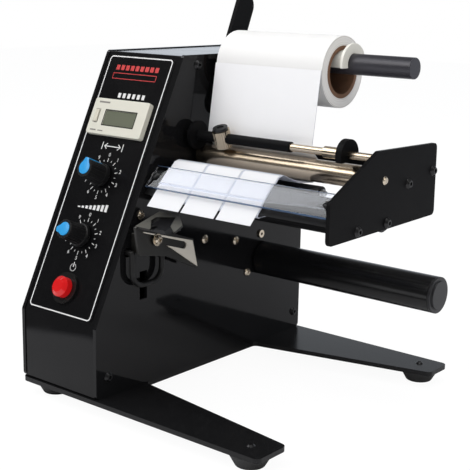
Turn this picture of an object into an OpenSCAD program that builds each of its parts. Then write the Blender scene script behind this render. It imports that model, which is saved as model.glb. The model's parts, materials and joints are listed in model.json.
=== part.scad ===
// Label dispenser: bench-top machine that feeds die-cut labels over a peel plate
// Millimetres, Z up. X runs along the rollers, Y from the front panel to the back.
// Origin: centre of the footprint, at the underside of the feet.

/* [Housing] */
// width of the control housing
housing_w = 68; // [60:1:90]
// depth of the control housing
housing_d = 206; // [190:1:240]
// height of the control housing above the base plate
housing_h = 205; // [190:1:230]
// height of the upright front below the sloped panel
front_h = 45; // [35:1:60]
// depth taken up by the sloped panel
slope_depth = 77; // [65:1:90]
// thickness of the two side walls
wall_t = 2.5; // [2:0.5:4]
// thickness of the bent cover between the walls
cover_t = 1.5; // [1:0.25:2.5]
// corner radius of the walls and plates
plate_corner = 3; // [1:0.5:5]

/* [Base] */
// thickness of the base plate
base_t = 3; // [2:0.5:5]
// height of the rubber feet
foot_h = 8; // [5:1:15]
// radius of a foot at the plate
foot_top_r = 13; // [10:0.5:16]
// radius of a foot at the floor
foot_low_r = 8.5; // [6:0.5:12]
// reach of the front and rear legs beyond the housing
leg_reach = 126; // [110:1:150]
// depth of the front leg at the housing
front_leg_root = 43; // [35:1:60]
// depth of the front leg at its tip
front_leg_tip = 25; // [20:1:35]
// depth of the rear leg at the housing
rear_leg_root = 52; // [40:1:65]
// depth of the rear leg at its tip
rear_leg_tip = 23; // [18:1:35]

/* [Panel] */
// thickness of the front overlay
overlay_t = 0.5; // [0.3:0.1:1]
// margin of the overlay to the panel edges
overlay_margin = 3; // [2:0.5:8]
// width of the counter bezel
counter_w = 48; // [46:1:52]
// height of the counter bezel
counter_h = 24; // [22:1:28]
// distance of the counter centre up the slope
counter_s = 131.3; // [125:0.5:140]
// distance of the length dial centre up the slope
length_s = 93.5; // [85:0.5:100]
// distance of the speed dial centre up the slope
speed_s = 53.5; // [45:0.5:60]
// distance of the power button centre up the slope
power_s = 19.5; // [14:0.5:24]
// radius of a knob at its skirt
knob_r = 7.5; // [6:0.5:9]
// height of a knob
knob_h = 15.5; // [12:0.5:20]
// radius of the power button
button_r = 6.5; // [5:0.5:8]

/* [Feed] */
// outer face of the right side plate, measured from the left wall
plate_x = 207; // [195:1:230]
// thickness of the right side plate
plate_t = 2.5; // [2:0.5:4]
// depth position of the steel guide roller
roller_y = 93; // [88:1:98]
// height of the steel guide roller above the base plate
roller_z = 142; // [138:1:146]
// radius of the steel guide roller
roller_r = 6.8; // [5:0.2:7.4]
// depth position of the thin guide rod
rod_y = 84; // [82:1:87]
// height of the thin guide rod above the base plate
rod_z = 155.5; // [154:0.5:158]
// radius of the thin guide rod
rod_r = 2.25; // [1.5:0.25:3]
// radius of a tie bar
bar_r = 4; // [3:0.5:5]
// width of the label web
web_w = 81; // [60:1:100]
// gap from the housing wall to the label web
web_gap = 8; // [6:0.5:12]

/* [Supply] */
// radius of the supply tube
supply_r = 6.25; // [5:0.25:8]
// radius of the hole in the label core
core_bore_r = 13.2; // [12:0.1:16]
// radial thickness of the label core
core_t = 2.6; // [1.5:0.1:4]
// outer radius of the label roll
roll_r = 21.6; // [19:0.2:30]
// depth of the supply tube below the top of the housing
supply_drop = 1.5; // [-3:0.5:5]
// depth position of the supply tube
supply_y = 120; // [115:0.5:125]

/* [Drive] */
// radius of the take-up tube
tube_r = 11.7; // [9:0.1:13]
// depth position of the take-up tube
tube_y = 160; // [155:1:165]
// height of the take-up tube above the base plate
tube_z = 61; // [58:1:66]
// radius of the rubber drive roller
drive_r = 6; // [5:0.5:7]

/* [Hidden] */
steps = 6;
tiny = 0.01;
over = 1;
air = 0.3;
run_fit = 0.1;
quarter = 90;
z0 = foot_h + base_t;
supply_z = housing_h - supply_drop;
slope_a = atan2(housing_h - front_h, slope_depth);
slope_len = norm([housing_h - front_h, slope_depth]);
tail = 3.2;
front_over = 1;
inlet_out = 2;
foot_in_tip = 11.5;
panel_in = 1.4;
panel_x = housing_w / 2 - panel_in;
head_r = 3.2;
head_h = 1.8;
mid_x = (plate_x + tail - head_h) / 2;
low_y = min(-front_over, foot_in_tip - foot_top_r);
high_y = max(housing_d + inlet_out, housing_d - foot_in_tip + foot_top_r);
mid_y = (low_y + high_y) / 2;
shank_r = 1.9;
hex_r = 1.25;
inner_w = housing_w - 2 * wall_t;
span = plate_x - plate_t - housing_w;

// an arc of points that rounds the corner b between a and c
function corner(a, b, c, r) =
    let (u = (a - b) / norm(a - b), v = (c - b) / norm(c - b), ang = acos(u * v),
         d = r / tan(ang / 2), q = b + (u + v) / norm(u + v) * r / sin(ang / 2),
         p1 = b + u * d, p2 = b + v * d,
         a1 = atan2(p1.y - q.y, p1.x - q.x), a2 = atan2(p2.y - q.y, p2.x - q.x),
         s = a2 - a1, turn = s > 180 ? s - 360 : s < -180 ? s + 360 : s)
    [for (i = [0:steps]) q + r * [cos(a1 + turn * i / steps), sin(a1 + turn * i / steps)]];

function rounded(p, r) =
    [for (i = [0:len(p) - 1]) each corner(p[(i + len(p) - 1) % len(p)], p[i], p[(i + 1) % len(p)], r)];

// a convex outline drawn in by t
function inset(p, t) =
    [for (i = [0:len(p) - 1])
        let (b = p[i], u = p[(i + len(p) - 1) % len(p)] - b, v = p[(i + 1) % len(p)] - b,
             uu = u / norm(u), vv = v / norm(v), ang = acos(uu * vv))
        b + (uu + vv) / norm(uu + vv) * t / sin(ang / 2)];

// the normals and both sides of an open path
function side_of(p, i) =
    let (a = p[max(i - 1, 0)], b = p[min(i + 1, len(p) - 1)], d = (b - a) / norm(b - a)) [-d.y, d.x];
function band(p, t) =
    concat([for (i = [0:len(p) - 1]) p[i] + side_of(p, i) * t / 2],
           [for (i = [len(p) - 1:-1:0]) p[i] - side_of(p, i) * t / 2]);
function arc(c, r, a1, a2, n) =
    [for (i = [0:n]) c + r * [cos(a1 + (a2 - a1) * i / n), sin(a1 + (a2 - a1) * i / n)]];

module place() {
    translate([-mid_x, -mid_y, 0]) children();
}

// an outline given as depth and height, extruded along X from x
module yz(x, w) {
    translate([x, 0, z0])
        rotate([90, 0, 90])
            linear_extrude(w) children();
}

// a round piece along X at depth y and height z above the base plate
module rod_x(x, y, z, r, w) {
    translate([x, y, z0 + z])
        rotate([0, 90, 0])
            cylinder(r = r, h = w, $fn = 64);
}

module at_x(x, y, z) {
    translate([x, y, z0 + z])
        rotate([0, 90, 0]) children();
}

module on_slope(x, s) {
    translate([x, 0, z0 + front_h])
        rotate([slope_a, 0, 0])
            translate([0, s, 0]) children();
}

// button head screw with a hexagon socket, head on +Z, shank down
module button_screw(w, r = head_r, h = head_h, s = shank_r) {
    difference() {
        union() {
            cylinder(r1 = r, r2 = r * dome_share, h = h, $fn = 48);
            translate([0, 0, -w])
                cylinder(r = s, h = w + tiny, $fn = 32);
        }
        translate([0, 0, h * socket_share])
            cylinder(r = hex_r, h = h, $fn = 6);
    }
}
dome_share = 0.62;
socket_share = 0.35;

// pan head screw with a cross recess
module pan_screw(w, r, h, s) {
    difference() {
        union() {
            cylinder(r = r, h = h * pan_share, $fn = 48);
            translate([0, 0, h * pan_share])
                cylinder(r1 = r, r2 = r * dome_share, h = h * (1 - pan_share), $fn = 48);
            translate([0, 0, -w])
                cylinder(r = s, h = w + tiny, $fn = 32);
        }
        for (a = [0, 90])
            rotate([0, 0, a])
                translate([-r * cross_share, -r * slot_share / 2, h * pan_share])
                    cube([2 * r * cross_share, r * slot_share, h]);
    }
}
pan_share = 0.5;
cross_share = 0.55;
slot_share = 0.26;

foot_in = 15;
foot_screw_r = 1.7;
foot_head_r = 2.6;
foot_head_h = 0.9;
foot_cup_r = 5;
foot_cup_h = 4;
leg_end = housing_w + leg_reach;
feet_xy = [[foot_in, foot_in], [leg_end - foot_in, foot_in_tip], [foot_in, housing_d - foot_in],
    [leg_end - foot_in, housing_d - foot_in_tip]];
base_corner = 4;
base_out = [[0, -front_over], [leg_end, -front_over], [leg_end, front_leg_tip], [housing_w, front_leg_root],
    [housing_w, housing_d - rear_leg_root], [leg_end, housing_d - rear_leg_tip], [leg_end, housing_d],
    [0, housing_d]];
vent_n = 5;
vent_w = 4;
vent_l = 30;
vent_pitch = 9;
vent_y = 70;

module base_plate() place() {
    color("#141414")
        translate([0, 0, foot_h])
            difference() {
                linear_extrude(base_t)
                    polygon(rounded(base_out, base_corner));
                for (p = feet_xy)
                    translate([p.x, p.y, -over])
                        cylinder(r = foot_screw_r + run_fit, h = base_t + 2 * over, $fn = 32);
                for (i = [0:vent_n - 1])
                    translate([panel_x - vent_l / 2, vent_y + i * vent_pitch, -over])
                        cube([vent_l, vent_w, base_t + 2 * over]);
                for (p = base_screws_xy)
                    translate([p.x, p.y, -over])
                        cylinder(r = shank_r + run_fit, h = base_t + 2 * over, $fn = 32);
            }
}
lip = 12;
base_screws_xy = [[panel_x, lip / 2], [panel_x, housing_d - lip / 2]];

module rubber_feet() place() {
    color("#1c1c1c")
        for (p = feet_xy)
            translate([p.x, p.y, 0])
                difference() {
                    cylinder(r1 = foot_low_r, r2 = foot_top_r, h = foot_h, $fn = 64);
                    translate([0, 0, -over])
                        cylinder(r = foot_cup_r, h = foot_cup_h + over, $fn = 48);
                    translate([0, 0, -over])
                        cylinder(r = foot_screw_r + run_fit, h = foot_h + 2 * over, $fn = 32);
                }
}

module foot_screws() place() {
    color("#202020") {
        for (p = feet_xy)
            translate([p.x, p.y, z0]) {
                button_screw(base_t + foot_h - foot_cup_h + foot_nut_h, foot_head_r, foot_head_h, foot_screw_r);
                translate([0, 0, -base_t - foot_h + foot_cup_h - foot_nut_h])
                    cylinder(r = foot_nut_r, h = foot_nut_h, $fn = 6);
            }
        for (p = base_screws_xy)
            translate([p.x, p.y, foot_h])
                rotate([180, 0, 0])
                    button_screw(base_t + cover_t, head_r, head_h, shank_r);
    }
}
foot_nut_h = 2.4;
foot_nut_r = 4;

profile = [[0, 0], [housing_d, 0], [housing_d, housing_h], [slope_depth, housing_h], [0, front_h]];
cover_inset = 0.6;
cover_profile = inset(profile, cover_inset);
post_r = 4;
post_in = 10;
post_up = 12.7;
post_rear = 7;
post_crest = 12.6;
post_top = 6.4;
post_drop = 15;
posts = [[post_in, post_up], [housing_d - post_rear, post_up], [slope_depth + post_crest, housing_h - post_top],
    [housing_d - post_rear - over, housing_h - post_drop]];
motor_ahead = 39.25;
motor_above = 8.1;
motor_y = tube_y - motor_ahead;
motor_z = tube_z + motor_above;
motor_reach = 22.75;
motor_shares = [[-1, 0.686], [0.415, 0.4], [1, -0.686]];
motor_holes = [for (p = motor_shares) [motor_y, motor_z] + motor_reach * p];
drive_behind = 4;
drive_below = 25;
drive_y = roller_y + drive_behind;
drive_z = roller_z - drive_below;
pinch_r = 4.5;
nip = 0.8;
pinch_a = 100;
pinch_y = drive_y + (drive_r + pinch_r + nip) * cos(pinch_a);
pinch_z = drive_z + (drive_r + pinch_r + nip) * sin(pinch_a);
bush_r = 6;
bush_flange_r = 8;
bush_flange_t = 1.2;
shaft_r = 4;
axle_r = 3;
pinch_axle_r = 2;
slot_hole_w = 6.5;
slot_hole_h = 18;
slot_hole_y = 40.7;
slot_hole_z = 65;
roller_at = [roller_y, roller_z];
plate_reach = 58;
bar_shares = [[-0.448, -0.44], [0.448, -0.086], [0.931, -0.009]];
bars = [for (p = bar_shares) roller_at + plate_reach * p];
screw1 = roller_at - plate_reach * [0.948, 0.552];
eyelet = [tube_y, tube_z] + tube_r * [-0.197, 1.504];

module wall_outline() {
    polygon(rounded(profile, plate_corner));
}

module left_wall() place() {
    color("#161616")
        difference() {
            yz(0, wall_t) wall_outline();
            for (p = posts)
                rod_x(-over, p.x, p.y, shank_r + run_fit, wall_t + 2 * over);
        }
}

module right_wall() place() {
    color("#0d0d0d")
        difference() {
            yz(housing_w - wall_t, wall_t) wall_outline();
            for (p = concat(posts, bars, motor_holes, [screw1]))
                rod_x(housing_w - wall_t - over, p.x, p.y, shank_r + run_fit, wall_t + 2 * over);
            for (p = [[tube_y, tube_z], [drive_y, drive_z]])
                rod_x(housing_w - wall_t - over, p.x, p.y, bush_r + run_fit, wall_t + 2 * over);
            rod_x(housing_w - wall_t - over, roller_y, roller_z, axle_r + run_fit, wall_t + 2 * over);
            for (d = arm_bolts)
                rod_x(housing_w - wall_t - over, arm_at(d).x, arm_at(d).y, shank_r + run_fit, wall_t + 2 * over);
            rod_x(housing_w - wall_t - over, lead_y, lead_z, lead_r + over + run_fit, wall_t + 2 * over);
            rod_x(housing_w - wall_t - over, pinch_y, pinch_z, pinch_axle_r + run_fit, wall_t + 2 * over);
            rod_x(housing_w - wall_t - over, rod_y, rod_z, rod_r - rod_neck + run_fit, wall_t + 2 * over);
            rod_x(housing_w - wall_t - over, eyelet.x, eyelet.y, eyelet_r - eyelet_step + run_fit, wall_t + 2 * over);
            translate([housing_w - wall_t - over, slot_hole_y - slot_hole_w / 2,
                    z0 + slot_hole_z - slot_hole_h / 2])
                cube([wall_t + 2 * over, slot_hole_w, slot_hole_h]);
        }
}
rod_neck = 0.75;

inlet_w = 27.5;
inlet_h = 20;
inlet_z = 40;
inlet_rim = 3;
inlet_deep = 22;
pot_bush_r = 3.6;
switch_r = 8;

module housing_cover() place() {
    color("#1a1a1a")
        difference() {
            yz(wall_t, inner_w)
                difference() {
                    polygon(cover_profile);
                    polygon(inset(cover_profile, cover_t));
                }
            // open floor behind the front and rear lips
            translate([wall_t + lip, lip, z0 - over])
                cube([inner_w - 2 * lip, housing_d - 2 * lip, cover_t + cover_inset + 2 * over]);
            on_slope(panel_x, counter_s)
                translate([0, 0, -over])
                    cube([counter_w - counter_step, counter_h - counter_step, 2 * over + 2 * cover_t], center = true);
            for (s = [length_s, speed_s])
                on_slope(panel_x, s)
                    translate([0, 0, -cover_t - 2 * over])
                        cylinder(r = pot_bush_r + run_fit, h = cover_t + cover_inset + 4 * over, $fn = 48);
            on_slope(panel_x, power_s)
                translate([0, 0, -cover_t - 2 * over])
                    cylinder(r = switch_r + run_fit, h = cover_t + 4 * over, $fn = 64);
            translate([panel_x - inlet_w / 2, housing_d - cover_t - 2 * over, z0 + inlet_z - inlet_h / 2])
                cube([inlet_w, cover_t + 4 * over, inlet_h]);
            for (p = base_screws_xy)
                translate([p.x, p.y, z0 - over])
                    cylinder(r = shank_r + run_fit, h = cover_t + cover_inset + 2 * over, $fn = 32);
            for (p = feet_xy)
                translate([p.x, p.y, z0 - over])
                    cylinder(r = foot_head_r + air, h = cover_t + cover_inset + 2 * over, $fn = 48);
            for (i = [0:vent_n - 1])
                translate([panel_x - vent_l / 2, housing_d - cover_t - 2 * over, z0 + back_vent_z + i * vent_pitch])
                    cube([vent_l, cover_t + 4 * over, vent_w]);
        }
}
counter_step = 3;
back_vent_z = 110;

module spacer_posts() place() {
    color("#8d8f92")
        for (p = posts)
            difference() {
                rod_x(wall_t, p.x, p.y, post_r, inner_w);
                for (x = [wall_t - over, housing_w - wall_t - post_thread])
                    rod_x(x, p.x, p.y, shank_r, post_thread + over);
            }
}
post_thread = 8;

// panel
overlay_w = 2 * (panel_x - overlay_margin);
overlay_r = 3;
overlay_len = slope_len - 2 * overlay_margin;
lens_w = 27;
lens_h = 9.6;
lens_x = 2;
lens_y = -0.7;
lens_t = 1;
key_w = 3;
key_h = 8;
key_x = -18.5;
key_out = 0.8;
key_travel = 0.6;
key_stem = 1.6;
bezel_h = 4;
bezel_r = 1.5;
case_deep = 32;
knob_gap = 0.5;
pot_r = 8.5;
pot_h = 9;
pot_nut_r = 5.6;
pot_nut_h = 1.8;
pot_shaft_r = 3;
pot_flat = 12;
pot_tail = 5;
switch_rim_r = 10;
switch_rim_h = 1.8;
switch_deep = 24;
switch_bore_deep = 8;
button_out = 6;
button_dome = 2;
button_travel = 2;
pin_w = 2;
pin_t = 0.6;
pin_l = 5;

module panel_overlay() place() {
    color("#101012")
        on_slope(panel_x, slope_len / 2)
            translate([0, 0, -cover_inset])
                difference() {
                    linear_extrude(overlay_t)
                        polygon(rounded([[-overlay_w / 2, -overlay_len / 2], [overlay_w / 2, -overlay_len / 2],
                            [overlay_w / 2, overlay_len / 2], [-overlay_w / 2, overlay_len / 2]], overlay_r));
                    translate([0, counter_s - slope_len / 2, 0])
                        cube([counter_w - counter_step, counter_h - counter_step, 2 * over], center = true);
                    for (s = [length_s, speed_s])
                        translate([0, s - slope_len / 2, -over])
                            cylinder(r = pot_nut_r + run_fit, h = 2 * over, $fn = 48);
                    translate([0, power_s - slope_len / 2, -over])
                        cylinder(r = switch_r + run_fit, h = 2 * over, $fn = 64);
                }
}

face_z = overlay_t - cover_inset;

module counter_case() place() {
    color("#d9d6c8")
        on_slope(panel_x, counter_s)
            difference() {
                union() {
                    translate([0, 0, face_z])
                        linear_extrude(bezel_h)
                            polygon(rounded([[-counter_w / 2, -counter_h / 2], [counter_w / 2, -counter_h / 2],
                                [counter_w / 2, counter_h / 2], [-counter_w / 2, counter_h / 2]], bezel_r));
                    translate([-counter_w / 2 + counter_step / 2 + air, -counter_h / 2 + counter_step / 2 + air,
                            -case_deep])
                        cube([counter_w - counter_step - 2 * air, counter_h - counter_step - 2 * air,
                            case_deep]);
                }
                translate([lens_x - lens_w / 2, lens_y - lens_h / 2, face_z + bezel_h - lens_t - air])
                    cube([lens_w, lens_h, lens_t + over]);
                translate([key_x - key_w / 2 - run_fit, -key_h / 2 - run_fit, face_z + bezel_h - key_well])
                    cube([key_w + 2 * run_fit, key_h + 2 * run_fit, key_well + over]);
            }
}
key_well = 3.2;

module counter_window() place() {
    color("#8d9a84")
        on_slope(panel_x, counter_s)
            translate([lens_x - lens_w / 2, lens_y - lens_h / 2, face_z + bezel_h - lens_t - air])
                cube([lens_w, lens_h, lens_t]);
}

module counter_reset() place() {
    color("#c9c6b8")
        on_slope(panel_x, counter_s)
            translate([key_x - key_w / 2, -key_h / 2, face_z + bezel_h - key_well + key_travel + run_fit])
                cube([key_w, key_h, key_well + key_out - key_travel - run_fit]);
}

module pot() {
    color("#5b6066")
        translate([0, 0, -cover_inset - cover_t - pot_h])
            cylinder(r = pot_r, h = pot_h, $fn = 64);
    color("#b8b6ae")
        translate([0, 0, -cover_inset - cover_t - tiny])
            difference() {
                cylinder(r = pot_bush_r, h = cover_t + pot_nut_h + tiny, $fn = 48);
                translate([0, 0, -over])
                    cylinder(r = pot_shaft_r + run_fit, h = cover_t + pot_nut_h + 2 * over, $fn = 48);
            }
    color("#b8b6ae")
        translate([0, 0, -cover_inset])
            difference() {
                cylinder(r = pot_nut_r, h = pot_nut_h, $fn = 6);
                translate([0, 0, -over])
                    cylinder(r = pot_bush_r - tiny, h = pot_nut_h + 2 * over, $fn = 48);
            }
    color("#5b6066")
        for (i = [-1:1])
            translate([i * pot_tail - pin_w / 2, -pot_r - pin_l + over, -cover_inset - cover_t - pot_h / 2])
                cube([pin_w, pin_l, pin_t]);
}

knob_z = pot_nut_h - cover_inset + knob_gap;
knob_top_share = 0.8;
knob_top_r = knob_r * knob_top_share;
skirt_h = 2.5;
skirt_share = 0.9;
grip_n = 18;
grip_r = 0.5;
cap_share = 0.72;
cap_t = 1.2;
cap_sink = 0.8;
mark_w = 1.8;
mark_t = 0.7;
knob_lean = atan2(knob_r * skirt_share - knob_top_r, knob_h - skirt_h);

module knob() {
    color("#141414")
        translate([0, 0, knob_z])
            difference() {
                union() {
                    cylinder(r = knob_r, h = skirt_h, $fn = 64);
                    translate([0, 0, skirt_h - tiny])
                        cylinder(r1 = knob_r * skirt_share, r2 = knob_top_r, h = knob_h - skirt_h, $fn = 64);
                    translate([0, 0, -knob_z - cover_inset - cover_t + run_fit])
                        cylinder(r = pot_shaft_r, h = knob_z + cover_inset + cover_t + over, $fn = 48);
                }
                for (i = [0:grip_n - 1])
                    rotate([0, 0, (i + 1 / 2) * 360 / grip_n])
                        translate([knob_r * skirt_share + grip_r / 2, 0, skirt_h + over])
                            rotate([0, -knob_lean, 0])
                                cylinder(r = grip_r, h = knob_h + over, $fn = 16);
                translate([0, 0, knob_h - cap_sink])
                    cylinder(r = knob_top_r * cap_share + tiny, h = cap_t + over, $fn = 64);
                translate([0, 0, -knob_z])
                    pointer(tiny);
            }
}

// the line on top of a knob and down its side
module pointer(g) {
    translate([-mark_w / 2 - g, 0, knob_z + knob_h + cap_t - cap_sink - mark_t - g])
        cube([mark_w + 2 * g, knob_top_r + mark_t, mark_t + 2 * g]);
    translate([-mark_w / 2 - g, knob_top_r - mark_t - g, knob_z + skirt_h + air - g])
        cube([mark_w + 2 * g, knob_r - knob_top_r + mark_t + 2 * g, knob_h - skirt_h + cap_t - cap_sink - air + 2 * g]);
}

module knob_cap() {
    color("#3f86c6") {
        translate([0, 0, knob_z + knob_h - cap_sink])
            cylinder(r = knob_top_r * cap_share, h = cap_t, $fn = 64);
        pointer(0);
    }
}

module dial_pots() place() {
    for (s = [length_s, speed_s])
        on_slope(panel_x, s) pot();
}
module length_knob() place() {
    on_slope(panel_x, length_s) rotate([0, 0, dial_turn]) knob();
}
module speed_knob() place() {
    on_slope(panel_x, speed_s) rotate([0, 0, speed_turned]) knob();
}
module length_cap() place() {
    on_slope(panel_x, length_s) rotate([0, 0, dial_turn]) knob_cap();
}
module speed_cap() place() {
    on_slope(panel_x, speed_s) rotate([0, 0, speed_turned]) knob_cap();
}
dial_turn = 0;
speed_turned = 100;

module power_switch() place() {
    color("#17171a")
        on_slope(panel_x, power_s)
            difference() {
                union() {
                    translate([0, 0, face_z])
                        cylinder(r = switch_rim_r, h = switch_rim_h, $fn = 72);
                    translate([0, 0, -switch_deep])
                        cylinder(r = switch_r, h = switch_deep + tiny + max(face_z, 0), $fn = 64);
                }
                translate([0, 0, switch_rim_h + face_z - switch_bore_deep])
                    cylinder(r = button_r + run_fit, h = switch_bore_deep + over, $fn = 64);
            }
    color("#b8b6ae")
        on_slope(panel_x, power_s)
            for (x = [-pin_l, pin_l])
                translate([x - pin_w / 2, -pin_t / 2, -switch_deep - pin_l])
                    cube([pin_w, pin_t, pin_l + tiny]);
}

module power_button() place() {
    color("#d9262b")
        on_slope(panel_x, power_s) {
            translate([0, 0, switch_rim_h + face_z - switch_bore_deep + button_travel + air])
                cylinder(r = button_r, h = switch_bore_deep + button_out - button_dome - button_travel - air, $fn = 64);
            translate([0, 0, switch_rim_h + face_z + button_out - button_dome - tiny])
                cylinder(r1 = button_r, r2 = button_r * dome_share, h = button_dome, $fn = 64);
        }
}

// inside the housing
board_w = 50;
board_h = 60;
board_t = 1.6;
board_rear = 66;
board_down = 80;
board_y = housing_d - board_rear;
board_z = housing_h - board_down;
board_leg = 8;
chip_w = 14;
chip_h = 3;
cap_r2 = 5;
cap_h2 = 16;
term_w = 9;
term_h = 10;
trans_l = 50;
trans_w = 35;
trans_h = 38;
trans_y = 62;
trans_foot = 2;
coil_share = 0.55;

module control_board() place() {
    color("#1e5a33")
        translate([wall_t + board_leg, board_y, z0 + board_z])
            difference() {
                cube([board_t, board_w, board_h]);
                for (y = [board_edge, board_w - board_edge], z = [board_edge, board_h - board_edge])
                    translate([-over, y, z])
                        rotate([0, 90, 0])
                            cylinder(r = shank_r, h = board_t + 2 * over, $fn = 24);
            }
    color("#b8b6ae")
        for (y = [board_edge, board_w - board_edge], z = [board_edge, board_h - board_edge])
            translate([wall_t, board_y + y, z0 + board_z + z])
                rotate([0, 90, 0])
                    cylinder(r = shank_r + over, h = board_leg + tiny, $fn = 24);
    color("#202024") {
        translate([wall_t + board_leg + board_t - tiny, board_y + board_w / 3, z0 + board_z + board_h / 3])
            cube([chip_h, chip_w, chip_w]);
        translate([wall_t + board_leg + board_t - tiny, board_y + board_w * 3 / 4, z0 + board_z + board_h * 3 / 4])
            rotate([0, 90, 0])
                cylinder(r = cap_r2, h = cap_h2, $fn = 48);
    }
    color("#3c6ea0")
        translate([wall_t + board_leg + board_t - tiny, board_y + board_edge, z0 + board_z + 2 * board_edge])
            cube([term_h, term_w, board_h / 2]);
}
board_edge = 4;

module transformer() place() {
    color("#5a5248")
        translate([panel_x - trans_w / 2, trans_y, z0]) {
            cube([trans_w, trans_l, trans_foot]);
            translate([0, (trans_l - trans_l * coil_share) / 2, trans_foot - tiny])
                cube([trans_w, trans_l * coil_share, trans_h - trans_foot]);
        }
    color("#b98a3a")
        translate([panel_x - trans_w * coil_share / 2, trans_y + over, z0 + trans_foot + over])
            cube([trans_w * coil_share, trans_l - 2 * over, trans_h - trans_foot - 2 * over - over]);
}

module power_inlet() place() {
    color("#151515")
        difference() {
            union() {
                translate([panel_x - inlet_w / 2 - inlet_rim, housing_d - cover_inset, z0 + inlet_z - inlet_h / 2 - inlet_rim])
                    cube([inlet_w + 2 * inlet_rim, inlet_out + cover_inset, inlet_h + 2 * inlet_rim]);
                translate([panel_x - inlet_w / 2 + air, housing_d - inlet_deep, z0 + inlet_z - inlet_h / 2 + air])
                    cube([inlet_w - 2 * air, inlet_deep, inlet_h - 2 * air]);
            }
            translate([panel_x - inlet_w / 2 + inlet_rim / 2, housing_d - inlet_cup, z0 + inlet_z - inlet_h / 2 + inlet_rim / 2])
                cube([inlet_w - inlet_rim, inlet_cup + inlet_out + over, inlet_h - inlet_rim]);
        }
    color("#b8b6ae")
        for (i = [-1:1])
            translate([panel_x + i * inlet_pin - pin_w / 2, housing_d - inlet_cup - over,
                    z0 + inlet_z - pin_w + (i == 0 ? inlet_rim : 0)])
                cube([pin_w, inlet_cup - over, 2 * pin_w]);
}
inlet_cup = 16;
inlet_pin = 7;

// drive
bracket_in = 20;
bracket_t = 2;
bracket_half = 24;
motor_r = 17;
gear_r = 18.5;
gear_l = 15;
motor_gap = 6;
pulley_w = 7;
feed_pulley_r = 7;
drive_pulley_r = 7;
wind_pulley_r = 5;
tube_pulley_r = 6.5;
pulley_flange = 1;
belt_w = 4.6;
belt_t = 1.2;
belt_gap = 0.1;
bush_in = 2.5;
track_out = housing_w - wall_t - bush_in - air - pulley_w;
track_in = track_out - pulley_w;
bracket_x = housing_w - wall_t - bracket_in;
motor_l = bracket_x - gear_l - wall_t - motor_gap;

module motor_bracket() place() {
    color("#9a9c9e")
        difference() {
            union() {
                yz(bracket_x, bracket_t)
                    polygon(rounded([[motor_y - bracket_half, motor_z - bracket_half],
                        [motor_y + bracket_half, motor_z - bracket_half],
                        [motor_y + bracket_half, motor_z + bracket_half],
                        [motor_y - bracket_half, motor_z + bracket_half]], plate_corner));
                for (p = motor_holes)
                    rod_x(bracket_x + bracket_t - tiny, p.x, p.y, post_r - over, bracket_in - bracket_t + tiny);
            }
            for (p = motor_holes)
                rod_x(housing_w - wall_t - post_thread, p.x, p.y, shank_r - tiny, post_thread + over);
            rod_x(bracket_x - over, motor_y, motor_z, bush_r, bracket_t + 2 * over);
        }
}

module gear_motor() place() {
    color("#77797c") {
        rod_x(bracket_x - gear_l, motor_y, motor_z, gear_r, gear_l);
        rod_x(bracket_x - tiny, motor_y, motor_z, bush_r - air, bracket_t);
    }
    color("#3a3c40")
        rod_x(bracket_x - gear_l - motor_l, motor_y, motor_z, motor_r, motor_l + tiny);
}

motor_head_r = 2.9;
motor_head_h = 1.6;
screw_turn = 20;

// one belt track of a pulley, flanges on both sides
module track(x, y, z, r) {
    rod_x(x, y, z, r + belt_t + over, pulley_flange);
    rod_x(x + pulley_flange - tiny, y, z, r, pulley_w - 2 * pulley_flange + 2 * tiny);
    rod_x(x + pulley_w - pulley_flange, y, z, r + belt_t + over, pulley_flange);
}

module motor_pulley() place() {
    color("#c4c6c8") {
        track(track_in, motor_y, motor_z, feed_pulley_r);
        track(track_out, motor_y, motor_z, wind_pulley_r);
        rod_x(bracket_x + bracket_t + run_fit, motor_y, motor_z, axle_r, track_in - bracket_x - bracket_t);
    }
}

// an open belt round two pulleys a and b of radii ra and rb
module belt(x, a, b, ra, rb) {
    turn = atan2(b.y - a.y, b.x - a.x);
    lean = asin((rb - ra) / norm(b - a));
    yz(x + (pulley_w - belt_w) / 2, belt_w)
        difference() {
            polygon(belt_line(a, b, ra + belt_gap + belt_t, rb + belt_gap + belt_t, turn, lean));
            polygon(belt_line(a, b, ra + belt_gap, rb + belt_gap, turn, lean));
        }
}
function belt_line(a, b, ra, rb, turn, lean) = concat(
    arc(a, ra, turn + quarter + lean, turn + 3 * quarter - lean, 4 * steps),
    arc(b, rb, turn - quarter - lean, turn + quarter + lean, 4 * steps));

module drive_belts() place() {
    color("#1a1a1a") {
        belt(track_in, [motor_y, motor_z], [drive_y, drive_z], feed_pulley_r, drive_pulley_r);
        belt(track_out, [motor_y, motor_z], [tube_y, tube_z], wind_pulley_r, tube_pulley_r);
    }
}

module flanged_bush(y, z, bore) {
    difference() {
        union() {
            rod_x(housing_w - wall_t - bush_in, y, z, bush_r, wall_t + bush_in);
            rod_x(housing_w, y, z, bush_flange_r, bush_flange_t);
        }
        rod_x(housing_w - wall_t - bush_in - over, y, z, bore, wall_t + bush_in + bush_flange_t + 2 * over);
    }
}

plate_in = plate_x - plate_t;
plate_bush_r = 5;

module bushes() place() {
    color("#a5813c") {
        flanged_bush(drive_y, drive_z, axle_r + run_fit / 2);
        flanged_bush(tube_y, tube_z, shaft_r + run_fit / 2);
        difference() {
            union() {
                rod_x(plate_in - bush_flange_t, drive_y, drive_z, plate_bush_r + over, bush_flange_t);
                rod_x(plate_in - tiny, drive_y, drive_z, plate_bush_r, plate_t / 2 + tiny);
            }
            rod_x(plate_in - bush_flange_t - over, drive_y, drive_z, axle_r + run_fit / 2,
                plate_t + bush_flange_t + 2 * over);
        }
    }
}

shaft_start = track_in - over;
shaft_end = plate_in + plate_t / 2 - air;

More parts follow.
